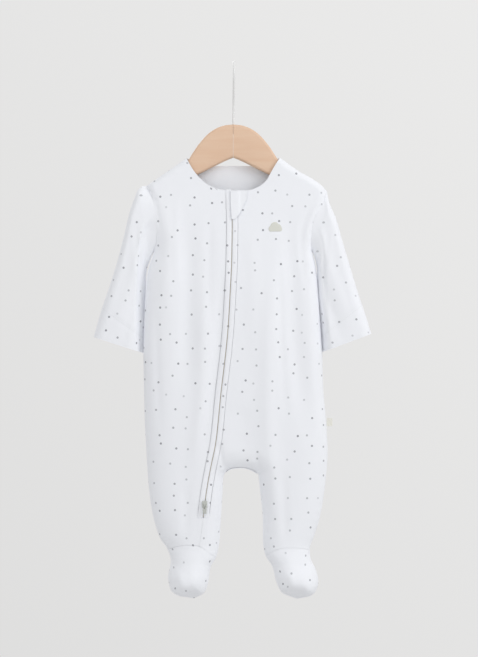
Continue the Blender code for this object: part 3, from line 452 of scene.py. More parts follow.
def guide_line(name: str, route: Points) -> bpy.types.Object:
    """A curve object along a route of points in millimetres."""
    curve = bpy.data.curves.new(name, "CURVE")
    curve.dimensions = "3D"
    line = curve.splines.new("POLY")
    line.points.add(len(route) - 1)
    for point, place in zip(line.points, np.asarray(route) * MM):
        point.co = (*place, 1)
    return new_object(name, curve)


def swept(name: str, guide: bpy.types.Object) -> bpy.types.Object:
    """The plain mesh that a guide curve makes, in place of the guide."""
    mesh = bpy.data.meshes.new_from_object(guide.evaluated_get(bpy.context.evaluated_depsgraph_get()))
    bpy.data.objects.remove(guide)
    mesh.name = name
    mesh.shade_smooth()
    return new_object(name, mesh)


def rim(quads: Quads) -> dict[int, int]:
    """The edges that only one face has, as {corner: next corner}."""
    edges = {(a, b) for quad in quads for a, b in zip(quad, quad[1:] + quad[:1])}
    return {a: b for a, b in edges if (b, a) not in edges}


def wall(
    name: str, outer: Points, inner: Points, quads: Quads, looks: Looks, uv: Points
) -> bpy.types.Object:
    """Make a closed cloth wall; the first material faces out and the second in.

    Args:
        name: the piece.
        outer: outer points in millimetres.
        inner: the inner point under each.
        quads: the outer faces.
        looks: materials of the outer and the inner face.
        uv: flat places in metres.

    Returns:
        The object.
    """
    count = len(outer)
    edge = [(b, a, count + a, count + b) for a, b in rim(quads).items()]
    faces = list(quads) + edge + [tuple(count + i for i in reversed(quad)) for quad in quads]
    made = mesh_object(name, np.vstack([outer, inner]), faces, looks, np.vstack([uv, uv]))
    index = np.zeros(len(faces), np.int32)
    index[len(quads) + len(edge):] = len(looks) - 1
    made.data.polygons.foreach_set("material_index", index)
    return made


def dress(
    piece: bpy.types.Object, solid: str = "", body: str = GARMENT,
) -> None:
    """Tie a piece to the frame and report it.

    Args:
        piece: the finished piece.
        solid: the solid it replaces, if any.
        body: the body it rides.
    """
    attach(piece, body)
    if solid:
        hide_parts(solid)
    LOG.info("%s: %d faces, on %s, for %s", piece.name, len(piece.data.polygons), body, solid or "no solid")


def net_quads(rows: int, columns: int, turn: bool = False) -> Quads:
    """Faces of a net of rows and columns; turn points them the other way."""
    quads = []
    for r in range(rows - 1):
        for c in range(columns - 1):
            a = r * columns + c
            quad = (a, a + columns, a + columns + 1, a + 1)
            quads.append(tuple(reversed(quad)) if turn else quad)
    return quads


class Panel:
    """One flat-cut cloth piece: quads over its outline, lifted to the form and given its wall."""

    def __init__(self, name: str, face: Face) -> None:
        """Start an empty panel."""
        self.name, self.face = name, face
        self.spots, self.closed, self.quads, self.known, self.nets = [], [], [], {}, []

    def corner(self, spot: Points, closed: bool) -> int:
        """Index of a net point; points shared by two nets are one."""
        key = tuple(np.round(spot, 2))
        if key not in self.known:
            self.known[key] = len(self.spots)
            self.spots.append(spot)
            self.closed.append(closed)
        index = self.known[key]
        self.closed[index] = self.closed[index] or closed
        return index

    def add(
        self, net: Points, left: Points | bool = False, right: Points | bool = False,
        top: slice | Points | None = None, bottom: slice | list[int] | None = None,
    ) -> None:
        """Add a net of points (x, drop).

        Args:
            net: rows by columns of points.
            left: where the left edge is sewn to the other face.
            right: where the right edge is.
            top: columns whose first point is.
            bottom: columns whose last point is.
        """
        closed = np.zeros(net.shape[:2], bool)
        closed[:, 0], closed[:, -1] = left, right
        if top is not None:
            closed[0, top] = True
        if bottom is not None:
            closed[-1, bottom] = True
        index = [[self.corner(s, c) for s, c in zip(*row)] for row in zip(net, closed)]
        self.nets.append(np.array(index))
        for upper, lower in zip(index, index[1:]):
            for a, b, c, d in zip(upper, upper[1:], lower[1:], lower):
                quad = (a, d, c, b) if self.face is Face.FRONT else (a, b, c, d)
                if len(set(quad)) == 4:
                    self.quads.append(quad)

    def add_leg(self, leg: Leg, top: Points, columns: Points) -> None:
        """Add a whole leg's net.

        Args:
            leg: its outline.
            top: its first row, at the crotch.
            columns: the columns' shares.
        """
        left = leg.left.between(top[0][1], leg.left_end, LEG_ROWS)
        right = leg.right.between(top[-1][1], leg.right_end, LEG_ROWS)
        self.add(patch(top, leg.ankle.at(columns), (left, right), columns, LEG_ROWS, LEG_REACH), True, True)

    def build(self, looks: Looks) -> bpy.types.Object:
        """Lift the net to the form and give it its wall."""
        spots, closed = np.array(self.spots), np.array(self.closed)
        side = self.face.value
        out = np.where(closed, SEAM, np.maximum(Form.depth(spots, self.face), SEAM))
        outer = np.stack([spots[:, 0], Form.middle(spots[:, 1]) + side * out, -spots[:, 1]], axis=1)
        inner = outer + CLOTH * self.inward(outer, closed)
        limit = Form.middle(-inner[:, 2]) + side * SEAM
        inner[:, 1] = (np.maximum if side > 0 else np.minimum)(inner[:, 1], limit)
        return wall(self.name + "_cloth", outer, inner, self.quads, looks, self.flat(outer, spots))

    def flat(self, outer: Points, spots: Points) -> Points:
        """Flat places in metres: along each row by its length, and down by the drop."""
        u = np.full(len(outer), np.nan)
        for net in self.nets:
            row = np.linalg.norm(np.diff(outer[net], axis=1, prepend=outer[net[:, :1]])[:, :, :2], axis=2)
            run = np.cumsum(row, axis=1)
            mid = net.shape[1] // 2
            known = u[net[0, mid]]
            start = 0.0 if np.isnan(known) else known - spots[net[0, mid], 0]
            across = run - run[:, mid:mid + 1] + spots[net[:, mid], 0][:, None] + start
            free = np.isnan(u[net])
            u[net[free]] = across[free]
        return np.stack([u, -spots[:, 1]], axis=1) * MM

    def inward(self, outer: Points, closed: Points) -> Points:
        """Direction from the outer to the inner surface at each net point."""
        quads = np.array(self.quads)
        a, b, c, d = (outer[quads[:, k]] for k in range(4))
        facing = np.cross(c - a, d - b)
        normals = np.zeros_like(outer)
        for k in range(4):
            np.add.at(normals, quads[:, k], facing)
        into = -unit(normals)
        after = rim(self.quads)
        before = {b: a for a, b in after.items()}
        for here, ahead in after.items():
            behind = before[here]
            tangent = unit(outer[ahead] - outer[behind])
            if not closed[here]:
                straight = np.array([0.0, -self.face.value, 0.0])
                into[here] = unit(straight - (straight @ tangent) * tangent)
                continue
            across = unit(np.cross([0.0, self.face.value, 0.0], tangent) * [1, 0, 1])
            for near in (ahead, behind):
                if not closed[near]:
                    across = across + 2 * unit((outer[near] - outer[here]) * [1, 0, 1])
            into[here] = unit(across)
        return into


# Rows of every net, as shares: dense at the shoulder's round edge, then down to the crotch and ankle.
ARMHOLE_ROWS = fine(np.array([0, 0.005, 0.017, 0.04, 0.07, 0.15, 0.3, 0.5, 0.72, 0.9, 1]), 5)
TRUNK_ROWS = fine(np.array([0, 0.11, 0.23, 0.36, 0.49, 0.62, 0.74, 0.85, 0.94, 1]), 9)
LEG_ROWS = fine(np.array([0, 0.17, 0.36, 0.5, 0.607, 0.669, 0.83, 1]), 6)
FOOT_ROWS = fine(np.array([0, 0.12, 0.3, 0.5, 0.68, 0.84, 0.94, 1]), 4)
LEG_SHARES = np.array([0, 0.03, 0.1, 0.22, 0.38, 0.55, 0.72, 0.86, 0.95, 1])
LEFT_COLUMNS, RIGHT_COLUMNS = fine(LEG_SHARES, 6), fine(1 - LEG_SHARES[::-1], 6)
HALF_COLUMNS = fine(np.array([0, 0.03, 0.1, 0.22, 0.38, 0.55, 0.7, 0.85, 1]), 6)
STRIP_COLUMNS = fine(np.array([0, 0.5, 0.85, 1]), 5)
ARCH_COLUMNS = fine(np.array([0, 0.14, 0.34, 0.5, 0.66, 0.86, 1]), 3)
FOOT_COLUMNS = fine(np.array([0, 0.04, 0.14, 0.3, 0.5, 0.7, 0.86, 0.96, 1]), 5)
TRUNK_REACH, LEG_REACH, FOOT_REACH = (0.28, 0.12), (0.3, 0.3), (0.5, 0.6)

# Zip: the line between the two welts, and the seam that carries on below it to the ankle.
ZIP = table(
    "drop x",
    (157, -3.75), (204, -2.5), (246, -3.1), (288, -5.0), (330, -7.5), (361, -10.4), (411, -16.3),
    (471, -22.5), (509, -30.0), (534, -34.4), (561, -37.8), (580, -40.0), (604, -43.4),
)
ZIP_END = 567.0
ZIP_HALF = table("drop half", (150, 7.3), (ZIP_END - 5, 7.3), (ZIP_END - 0.5, 0.06), (620, 0.06))
NECK_AT_ZIP, ANKLE_AT_ZIP = 159.8, 602.0
GUARD = table(
    "drop left right",
    (160.3, -0.8, 20.6), (169, -1.2, 19.4), (177, -1.2, 16.0), (187, -1.0, 10.6), (196, -0.6, 4.6),
)


def zip_edge(drops: Points, side: int) -> Points:
    """Points where a front panel ends at the zip: side -1 left, 1 right, 0 the zip's own line."""
    drops = np.asarray(drops, float)
    x = smooth(ZIP["drop"], ZIP["x"], drops)
    half = np.interp(drops, ZIP_HALF["drop"], ZIP_HALF["half"])
    return np.stack([x + side * half, drops], axis=1)


@dataclass(frozen=True)
class Leg:
    """One leg's outline: its left and right line, where each meets the ankle, and the ankle seam."""

    left: Path
    left_end: float
    right: Path
    right_end: float
    ankle: Path


LEGS = {
    Side.LEFT: Leg(SIDE_LEFT, 607, INNER_LEFT, 617, ANKLE_LEFT),
    Side.RIGHT: Leg(INNER_RIGHT, 615, SIDE_RIGHT, 608, ANKLE_RIGHT),
}


def patch(
    top: Points, bottom: Points, sides: tuple[Points, Points], across: Points, down: Points,
    reach: tuple[float, float] = TRUNK_REACH,
) -> Points:
    """Net between four edges; the bends of the top and bottom edges fade away inside.

    Args:
        top: the top edge's points, one for each column.
        bottom: the bottom edge's.
        sides: the left and the right edge's, one for each row.
        across: the columns' shares.
        down: the rows' shares.
        reach: shares over which the top's and the bottom's bends fade.

    Returns:
        The net, rows by columns by (x, drop).
    """
    u = across[None, :, None]
    net = (1 - u) * sides[0][:, None] + u * sides[1][:, None]
    for edge, row, away, far in ((top, 0, down, reach[0]), (bottom, -1, 1 - down, reach[1])):
        bend = edge - net[row]
        net = net + np.clip(1 - away / far, 0, 1)[:, None, None] ** 2 * bend[None]
    net[0], net[-1] = top, bottom
    return net


def trunk_rows(side: Path) -> tuple[Points, Points]:
    """Side edge points from the shoulder tip to the crotch level, and their shares."""
    under, low = side.share(UNDERARM), side.share(CROTCH)
    shares = np.concatenate([ARMHOLE_ROWS * under, under + TRUNK_ROWS[1:] * (low - under)])
    return side.at(shares), shares / low


def sewn(points: Points, tip: float) -> Points:
    """True where a side edge is sewn to the other face, not open to a sleeve."""
    return Form.armhole(points[:, 1], tip) < 1e-6


def over_arch(
    left: Points, right: Points, left_columns: Points, right_columns: Points
) -> tuple[Points, Points, list[int]]:
    """Columns and bottom edge of a panel that spans both legs.

    Args:
        left: where its crotch level starts.
        right: where it ends.
        left_columns: shares across the left leg.
        right_columns: shares across the right leg.

    Returns:
        The columns' shares, the bottom edge, and the first and last column of the arch.
    """
    arch = ARCH.at(ARCH_COLUMNS)
    width = right[0] - left[0]
    first, last = ((end[0] - left[0]) / width for end in (ARCH_LEFT, ARCH_RIGHT))
    inside = (arch[1:-1, 0] - left[0]) / width
    across = np.concatenate([left_columns * first, inside, last + right_columns * (1 - last)])
    bottom = (1 - across[:, None]) * left + across[:, None] * right
    ends = [len(left_columns) - 1, len(left_columns) + len(arch) - 2]
    bottom[ends[0] : ends[1] + 1] = arch
    return across, bottom, ends


@dataclass
class Body:
    """The two front panels and the back, on the form from the neck to the ankles."""

    looks: Looks
    crowd: float = 2.4  # columns crowd towards the neck corners, where the cloth opens round the wood
    left_corner: float = 0.55  # share across each panel where the shoulder and the neck meet
    right_corner: float = 0.53
    back_corners: tuple[float, float] = (0.24, 0.73)

    def front_left(self) -> bpy.types.Object:
        """Front from the left side seam to the zip and down to the ankle."""
        panel = Panel("front_left", Face.FRONT)
        side, down = trunk_rows(SIDE_LEFT)
        across = HALF_COLUMNS
        corner = int(np.argmin(abs(across - self.left_corner)))
        neck_end = NECK_FRONT.share(zip_edge([NECK_AT_ZIP], -1)[0][0], 0)
        shoulder = SHOULDER_LEFT.at(1 - across[: corner + 1] / self.left_corner)
        run = (across[corner + 1:] - self.left_corner) / (1 - self.left_corner)
        top = np.vstack([shoulder, NECK_FRONT.at(run**self.crowd * neck_end)])
        edge = zip_edge(top[-1][1] + down * (CROTCH - top[-1][1]), -1)
        bottom = (1 - across[:, None]) * side[-1] + across[:, None] * edge[-1]
        net = patch(top, bottom, (side, edge), across, down)
        panel.add(net, sewn(side, TIP_LEFT), False, slice(corner + 1))
        ankle = ANKLE_LEFT.at(across * ANKLE_LEFT.share(zip_edge([ANKLE_AT_ZIP], -1)[0][0], 0))
        leg = SIDE_LEFT.between(CROTCH, LEGS[Side.LEFT].left_end, LEG_ROWS)
        edge = zip_edge(CROTCH + LEG_ROWS * (ankle[-1][1] - CROTCH), -1)
        panel.add(patch(net[-1], ankle, (leg, edge), across, LEG_ROWS, LEG_REACH), True)
        return panel.build(self.looks)

    def front_right(self) -> bpy.types.Object:
        """Front from the zip to the right side seam, with the left leg's inner strip and the right leg."""
        panel = Panel("front_right", Face.FRONT)
        side, down = trunk_rows(SIDE_RIGHT)
        start = NECK_FRONT.share(zip_edge([NECK_AT_ZIP], 1)[0][0], 0)
        across, bottom, arch = over_arch(zip_edge([CROTCH], 1)[0], side[-1], STRIP_COLUMNS, RIGHT_COLUMNS)
        corner = int(np.argmin(abs(across - self.right_corner)))
        run = 1 - (1 - across[:corner] / across[corner]) ** self.crowd
        shoulder = SHOULDER_RIGHT.at((across[corner:] - across[corner]) / (1 - across[corner]))
        top = np.vstack([NECK_FRONT.at(start + run * (1 - start)), shoulder])
        edge = zip_edge(top[0][1] + down * (CROTCH - top[0][1]), 1)
        net = patch(top, bottom, (edge, side), across, down)
        panel.add(net, False, sewn(side, TIP_RIGHT), slice(corner, None), arch)
        start = ANKLE_LEFT.share(zip_edge([ANKLE_AT_ZIP], 1)[0][0], 0)
        ankle = ANKLE_LEFT.at(start + STRIP_COLUMNS * (1 - start))
        edge = zip_edge(CROTCH + LEG_ROWS * (ankle[0][1] - CROTCH), 1)
        inner = INNER_LEFT.between(CROTCH, LEGS[Side.LEFT].right_end, LEG_ROWS)
        strip = patch(net[-1, : arch[0] + 1], ankle, (edge, inner), STRIP_COLUMNS, LEG_ROWS, LEG_REACH)
        panel.add(strip, False, True)
        panel.add_leg(LEGS[Side.RIGHT], net[-1, arch[1]:], RIGHT_COLUMNS)
        return panel.build(self.looks)

    def back(self) -> bpy.types.Object:
        """The whole back with both legs."""
        panel = Panel("back", Face.BACK)
        (left, down), (right, _) = trunk_rows(SIDE_LEFT), trunk_rows(SIDE_RIGHT)
        across, bottom, arch = over_arch(left[-1], right[-1], LEFT_COLUMNS, RIGHT_COLUMNS)
        start, stop = (int(np.argmin(abs(across - share))) for share in self.back_corners)
        run = 2 * (across[start:stop] - across[start]) / (across[stop] - across[start])
        run = np.where(run < 1, run**self.crowd, 2 - np.clip(2 - run, 0, 2) ** self.crowd) / 2
        left_shoulder = SHOULDER_LEFT.at(1 - across[:start] / across[start])
        right_shoulder = SHOULDER_RIGHT.at((across[stop:] - across[stop]) / (1 - across[stop]))
        top = np.vstack([left_shoulder, NECK_BACK.at(run), right_shoulder])
        net = patch(top, bottom, (left, right), across, down)
        shoulders = np.r_[0 : start + 1, stop : len(across)]
        panel.add(net, sewn(left, TIP_LEFT), sewn(right, TIP_RIGHT), shoulders, arch)
        panel.add_leg(LEGS[Side.LEFT], net[-1, : arch[0] + 1], LEFT_COLUMNS)
        panel.add_leg(LEGS[Side.RIGHT], net[-1, arch[1]:], RIGHT_COLUMNS)
        return panel.build(self.looks)

    def dress(self) -> None:
        """Build the three panels and tie them to the frame."""
        dress(self.front_left(), "front_left")
        dress(self.front_right(), "front_right")
        dress(self.back(), "back")


@dataclass
class Feet:
    """The closed feet: a top and a sole each, from the ankle seam to the rounded toe."""

    looks: Looks
    toe: float = 657.0  # where the toe's curve starts
    ankle_gap: float = 0.2  # the ankle seam curves between its columns

    def half(self, name: str, face: Face, leg: Leg) -> bpy.types.Object:
        """One face of a foot.

        Args:
            name: the solid it stands for.
            face: top or sole.
            leg: the leg it ends.

        Returns:
            The piece.
        """
        panel = Panel(name, face)
        across = FOOT_COLUMNS
        left = leg.left.between(leg.left_end, self.toe, FOOT_ROWS)
        right = leg.right.between(leg.right_end, self.toe, FOOT_ROWS)
        toe_left, toe_right = leg.left.share(self.toe), leg.right.share(self.toe)
        down, up = across[across <= 0.5] / 0.5, (across[across > 0.5] - 0.5) / 0.5
        left_toe = leg.left.at(toe_left + down * (1 - toe_left))
        toe = np.vstack([left_toe, leg.right.at(1 - up * (1 - toe_right))])
        net = patch(leg.ankle.at(across), toe, (left, right), across, FOOT_ROWS, FOOT_REACH)
        net[0, :, 1] += self.ankle_gap
        panel.add(net, True, True, bottom=slice(None))
        return panel.build(self.looks)

    def dress(self) -> None:
        """Build both feet and tie them to the frame."""
        cuts = ((Face.FRONT, "foot_top", (0.070, 0.080), 0.0047), (Face.BACK, "sole", (0.065, 0.070), 0.0039))
        for face, kind, flat, area in cuts:
            for side, leg in LEGS.items():
                solid = f"{kind}_{side.name.lower()}"
                dress(self.half(solid, face, leg), solid)


@dataclass
class Gusset:
    """The pointed oval under the crotch, just below the edges of the front and the back."""

    looks: Looks
    short: float = 2.0  # it ends this far inside the crotch opening
    columns: int = 40

    def dress(self) -> None:
        """Build the gusset and tie it to the frame."""
        arch = ARCH.at(ARCH_COLUMNS)
        front, rear = Form.depth(arch, Face.FRONT), Form.depth(arch, Face.BACK)
        front[[0, -1]] = rear[[0, -1]] = 0.0
        x = np.linspace(ARCH_LEFT[0] + self.short, ARCH_RIGHT[0] - self.short, self.columns)
        drop = np.interp(x, arch[:, 0], arch[:, 1]) + FOLDED_UNDER
        near, far = (np.interp(x, arch[:, 0], side) for side in (front, rear))
        share = np.array([-1, -0.6, 0, 0.6, 1])
        y = np.where(share[None] < 0, share[None] * near[:, None], share[None] * far[:, None])
        x, z = (np.repeat(line[:, None], len(share), 1) for line in (x, -drop))
        top = np.stack([x, y, z], axis=2).reshape(-1, 3)
        quads = net_quads(self.columns, len(share), True)
        piece = wall("crotch_gusset_cloth", top - [0, 0, CLOTH], top, quads, self.looks, top[:, :2] * MM)
        dress(piece, "crotch_gusset")


# Sleeves: the outer and the inner end of each ring, then what both sleeves share.
SLEEVE_LEFT = table(
    "out_x out_drop in_x in_drop",
    (-109.7, 153.8, -100.7, 236), (-114.5, 154.3, -103.0, 240.5), (-120.0, 158.5, -106.2, 248),
    (-126.0, 173, -109.6, 259), (-131.2, 188, -110.6, 272), (-138.0, 217, -110.8, 293),
    (-146.4, 249, -111.0, 312), (-156.8, 282, -111.0, 331), (-166.3, 310, -111.2, 348),
    (-175.6, 342.5, -112.2, 363),
)
SLEEVE_RIGHT = table(
    "out_x out_drop in_x in_drop",
    (115.8, 160.0, 97.8, 236), (116.8, 165, 100.2, 241), (118.4, 173, 102.4, 249),
    (122.2, 183, 103.6, 259), (127.4, 195, 103.4, 272), (134.8, 221, 103.2, 292),
    (143.8, 251, 105.0, 312), (153.6, 284, 106.6, 331), (162.4, 310, 107.6, 348),
    (171.4, 338.5, 108.4, 362),
)
SLEEVE_DEPTH = table(
    "in_y half",
    (0, 9.5), (1, 10), (4, 10.5), (7, 11), (9, 11), (10, 11), (10, 11), (10, 11.5), (10, 12), (10, 12),
)


def inset(loop: Points, shift: Points, count: int) -> Points:
    """A ring moved inwards by the cloth; its front half stays in front of its middle line.

    Args:
        loop: ring points (along, y).
        shift: y of the middle line at each place across.
        count: how many of the ring's points are in front.

    Returns:
        The inner ring.
    """
    tangent = unit(np.roll(loop, -1, axis=0) - np.roll(loop, 1, axis=0))
    moved = loop + CLOTH * np.stack([-tangent[:, 1], tangent[:, 0]], axis=1)
    mid = np.concatenate([shift, shift[-2:0:-1]])
    front = np.arange(len(loop)) < count
    moved[:, 1] = np.where(front, np.minimum(moved[:, 1], mid - SEAM), np.maximum(moved[:, 1], mid + SEAM))
    moved[[0, count - 1], 1] = mid[[0, count - 1]]
    return moved


def lift_ring(loop: Points, along: Points, line: Points) -> Points:
    """Ring points (along, y) placed on the line (x, drop) that the ring follows."""
    x, drop = (np.interp(loop[:, 0], along, line[:, k]) for k in (0, 1))
    return np.stack([x, loop[:, 1], -drop], axis=1)


def ring_places(outer: list[Points]) -> Points:
    """Flat places of a sleeve's ring points: around it, and along its axis."""
    rings = np.array(outer)
    centre = rings.mean(axis=1)
    axis = unit(centre[-1] - centre[0])
    along, across = rings @ axis, rings @ np.cross(axis, [0.0, 1.0, 0.0])
    sideways = np.diff(across, axis=1, prepend=across[:, :1])
    deep = np.diff(rings[..., 1], axis=1, prepend=rings[:, :1, 1])
    round_it = across[:, :1] + np.cumsum(np.hypot(sideways, deep), axis=1)
    return np.stack([round_it.ravel(), along.ravel()], axis=1) * MM


def tube(
    name: str, outer: list[Points], inner: list[Points], looks: Looks, mirrored: bool
) -> bpy.types.Object:
    """Make a closed wall from outer and inner rings, open at both ends.

    Args:
        name: the piece.
        outer: the outer rings.
        inner: the inner rings.
        looks: its materials.
        mirrored: True when the rings turn the other way round.

    Returns:
        The object.
    """
    size, inside = len(outer[0]), len(outer[0]) * len(outer)
    faces = []
    for k in range(len(outer) - 1):
        for j in range(size):
            a, b = k * size + j, k * size + (j + 1) % size
            faces.append((a, b, b + size, a + size))
            faces.append((inside + a, inside + a + size, inside + b + size, inside + b))
    for k, flip in ((0, False), (len(outer) - 1, True)):
        for j in range(size):
            a, b = k * size + j, k * size + (j + 1) % size
            quad = (a, inside + a, inside + b, b)
            faces.append(tuple(reversed(quad)) if flip else quad)
    if mirrored:
        faces = [tuple(reversed(face)) for face in faces]
    uv = ring_places(outer)
    return mesh_object(name, np.vstack(outer + inner), faces, looks, np.vstack([uv, uv]))


@dataclass
class Sleeve:
    """A set-in sleeve: rings from the armhole's oval to the flattened cuff, with a stitched hem."""

    side: Side
    seam: Path
    tip: float  # drop of the shoulder tip
    stations: Table
    curl: float  # share across where the inner end starts to bend back
    area: float
    rings: int = 70
    outer_round: float = 14.0
    inner_round: float = 10.0
    hem: float = 28.0  # from the cuff up to the hem's stitches
    groove: float = 0.05  # how far the stitches draw the cloth in, as a share

    def at(self, place: float) -> dict[str, float]:
        """The stations' values at a place between them."""
        knots = np.arange(len(self.stations["out_x"]), dtype=float)
        return {key: float(smooth(knots, column, place)) for key, column in self.stations.items()}

    def folds(self, share: Points, cuff: float, face: Face) -> Points:
        """Soft folds of a hanging sleeve: along it, and slanting up to the underarm.

        Args:
            share: places across, 0 at the outer edge.
            cuff: distance from the cuff.
            face: front or back.

        Returns:
            Their height, out from the cloth.
        """
        lean = 0.30 + 0.0022 * cuff
        ridge, dip = (share - lean) / 0.12, (share - lean - 0.26) / 0.10
        along = 1.1 * np.exp(-(ridge**2)) - 1.4 * np.exp(-(dip**2))
        fade = np.clip(cuff / 40.0, 0.15, 1.0) * np.clip((190.0 - cuff) / 40.0, 0.0, 1.0)
        wave = np.sin(share * 9.0 + cuff * 0.11 + face.value)
        pull = 0.8 * wave * np.exp(-(((cuff - 120.0) / 26.0) ** 2)) * share
        tucked = 5.0 if self.side is Side.LEFT else 1.4
        depth = tucked * np.clip((188.0 - cuff) / 30.0, 0, 1) * (face is Face.FRONT)
        return along * fade + pull - depth * eased((share - 0.87 + 0.0024 * cuff) / 0.07)

    def dress(self, looks: Looks) -> Points:
        """Build the sleeve and tie it to the frame.

        Args:
            looks: materials of its outside and its inside.

        Returns:
            The line of the hem's stitches.
        """
        spots = self.seam.at(ARMHOLE_ROWS * self.seam.share(UNDERARM))
        edge = spots + [self.side.value * SEAM, 0]
        steps = np.concatenate([[0], np.cumsum(np.linalg.norm(np.diff(edge, axis=0), axis=1))])
        share = steps / steps[-1]
        bow = edge - ((1 - share)[:, None] * edge[0] + share[:, None] * edge[-1])
        start = {face: np.where(sewn(spots, self.tip), 0.0, Form.depth(spots, face)) for face in Face}
        places = np.linspace(0, 1, self.rings) ** 1.25 * (len(self.stations["out_x"]) - 1)
        along = [self.at(place) for place in places]
        middle = [(0.5 * (s["out_x"] + s["in_x"]), 0.5 * (s["out_drop"] + s["in_drop"])) for s in along]
        to_cuff = np.linalg.norm(np.array(middle) - middle[-1], axis=1)
        outer, inner = [], []
        for place, cuff, now in zip(places, to_cuff, along):
            top = np.array([now["out_x"], now["out_drop"]]) if place else edge[0]
            low = np.array([now["in_x"], now["in_drop"]]) if place else edge[-1]
            line = (1 - share)[:, None] * top + share[:, None] * low + max(0.0, 1 - place / 3.0) ** 1.5 * bow
            run = share * np.linalg.norm(low - top)
            full = Form.rounded(run, self.outer_round) * Form.rounded(run[-1] - run, self.inner_round)
            shift = now["in_y"] * eased((share - self.curl) / (1 - self.curl))
            blend = min(1.0, place / 2.0)
            drawn = 1 - self.groove * math.exp(-(((cuff - self.hem) / 1.6) ** 2))
            ring = []
            for face in Face:
                y = (1 - blend) * start[face] + blend * now["half"] * full
                y = np.maximum(y * drawn + blend * full * self.folds(share, cuff, face), 0.35 * full)
                ring.append(np.stack([run, shift + face.value * y], axis=1))
            loop = np.vstack([ring[0], ring[1][-2:0:-1]])
            outer.append(lift_ring(loop, run, line))
            inner.append(lift_ring(inset(loop, shift, len(share)), run, line))
        solid = f"sleeve_{self.side.name.lower()}"
        piece = tube(solid + "_cloth", outer, inner, looks, self.side is Side.LEFT)
        dress(piece, solid)
        hem = outer[int(np.argmin(abs(to_cuff - self.hem)))]
        closed = np.vstack([hem, hem[:1]])
        return closed + 0.25 * unit(closed - hem.mean(axis=0))


def on_front(x: Points, drop: Points, lift: Points) -> Points:
    """Points lifted above the front of the form."""
    flat = np.stack([x.ravel(), drop.ravel()], axis=1)
    y = Form.middle(flat[:, 1]) - Form.depth(flat, Face.FRONT) - np.broadcast_to(lift, x.shape).ravel()
    return np.stack([flat[:, 0], y, -flat[:, 1]], axis=1)


def strip(
    name: str, drops: Points, edges: Points, lift: Points, thick: float, look: bpy.types.Material
) -> bpy.types.Object:
    """Make a strip lying along the zip.

    Args:
        name: the piece.
        drops: its rows.
        edges: offsets of its columns from the zip's line.
        lift: height over the front.
        thick: its thickness.
        look: its material.

    Returns:
        The object.
    """
    centre = zip_edge(drops, 0)[:, 0]
    edges = np.broadcast_to(np.asarray(edges, float), (len(drops), np.shape(edges)[-1]))
    outer = on_front(centre[:, None] + edges, np.repeat(drops[:, None], edges.shape[1], 1), np.asarray(lift))
    quads = net_quads(len(drops), edges.shape[1])
    return wall(name, outer, outer + [0, thick, 0], quads, [look], outer[:, [0, 2]] * MM)


@dataclass
class Zip:
    """The zip: two folded welts that all but meet over the chain's tape, and the guard at the top."""

    welt: bpy.types.Material
    tape: bpy.types.Material
    guard: bpy.types.Material
    rows: int = 300
    near: float = 0.55  # the welts' folded edges, from the zip's line
    out: float = 7.0  # their sewn edges
    proud: float = 1.0
    thick: float = 2.0
    tape_half: float = 6.8
    tape_deep: float = 1.75
    tape_thick: float = 0.8
    guard_thick: float = 1.2

    def dress_welt(self, side: Side, start: float) -> None:
        """Build the welt on one side, from a drop down, and tie it to the frame."""
        edges = np.sort(side.value * np.linspace(self.near, self.out, 9))
        t = (abs(edges) - self.near) / (self.out - self.near) * 2 - 1
        drops = start + np.linspace(0, 1, self.rows) * (ZIP_END - 0.6 - start)
        ripple = 0.12 * np.sin(drops * 0.55) * np.sin(drops * 0.23 + side.value)
        lift = self.proud - 0.6 * t[None] ** 4 + ripple[:, None]
        solid = f"zip_welt_{side.name.lower()}"
        piece = strip(solid + "_cloth", drops, edges, lift, self.thick, self.welt)
        dress(piece, solid)

    def dress_guard(self) -> None:
        """Build the guard flap over the zip's top end and tie it to the frame."""
        drops = np.linspace(GUARD["drop"][0], GUARD["drop"][-1], 40)
        left, right = (smooth(GUARD["drop"], GUARD[key], drops) for key in ("left", "right"))
        across = np.linspace(0, 1, 24)
        offset = left[:, None] + across[None] * (right - left)[:, None]
        over = eased((self.out + 4.5 - offset) / 3.5)
        rolled = np.exp(-(((1 - across) / 0.09) ** 2))[None]
        lift = self.guard_thick + 0.4 + self.proud * over + 0.35 * rolled
        piece = strip("zip_guard_cloth", drops, offset, lift, self.guard_thick, self.guard)
        dress(piece, "zip_guard")

    def dress(self) -> None:
        """Build the welts, the tape and the guard and tie them to the frame."""
        self.dress_welt(Side.LEFT, 158.6)
        self.dress_welt(Side.RIGHT, 160.4)
        drops = 162.0 + np.linspace(0, 1, self.rows) * (ZIP_END - 163.0)
        edges, lift = np.linspace(-self.tape_half, self.tape_half, 9), np.full((1, 9), -self.tape_deep)
        piece = strip("zip_tape_cloth", drops, edges, lift, self.tape_thick, self.tape)
        dress(piece, "zip_tape")
        self.dress_guard()


def linear(code: str) -> tuple[float, float, float, float]:
    """A hex sRGB colour as linear values."""
    parts = [int(code[k:k + 2], 16) / 255 for k in (0, 2, 4)]
    return (*(v / 12.92 if v <= 0.04045 else ((v + 0.055) / 1.055) ** 2.4 for v in parts), 1.0)


def node(tree: bpy.types.NodeTree, kind: str, values: dict | None = None, **options: str) -> bpy.types.Node:
    """Add a node.

    Args:
        tree: where it goes.
        kind: its type.
        values: input values by name.
        options: its own settings.

    Returns:
        The node.
    """
    made = tree.nodes.new(kind)
    for name, value in options.items():
        setattr(made, name, value)
    for name, value in (values or {}).items():
        made.inputs[name].default_value = value
    return made


def join(tree: bpy.types.NodeTree, *links: tuple) -> None:
    """Link nodes, each link as (node, output, node, input)."""
    for source, output, target, place in links:
        tree.links.new(source.outputs[output], target.inputs[place])


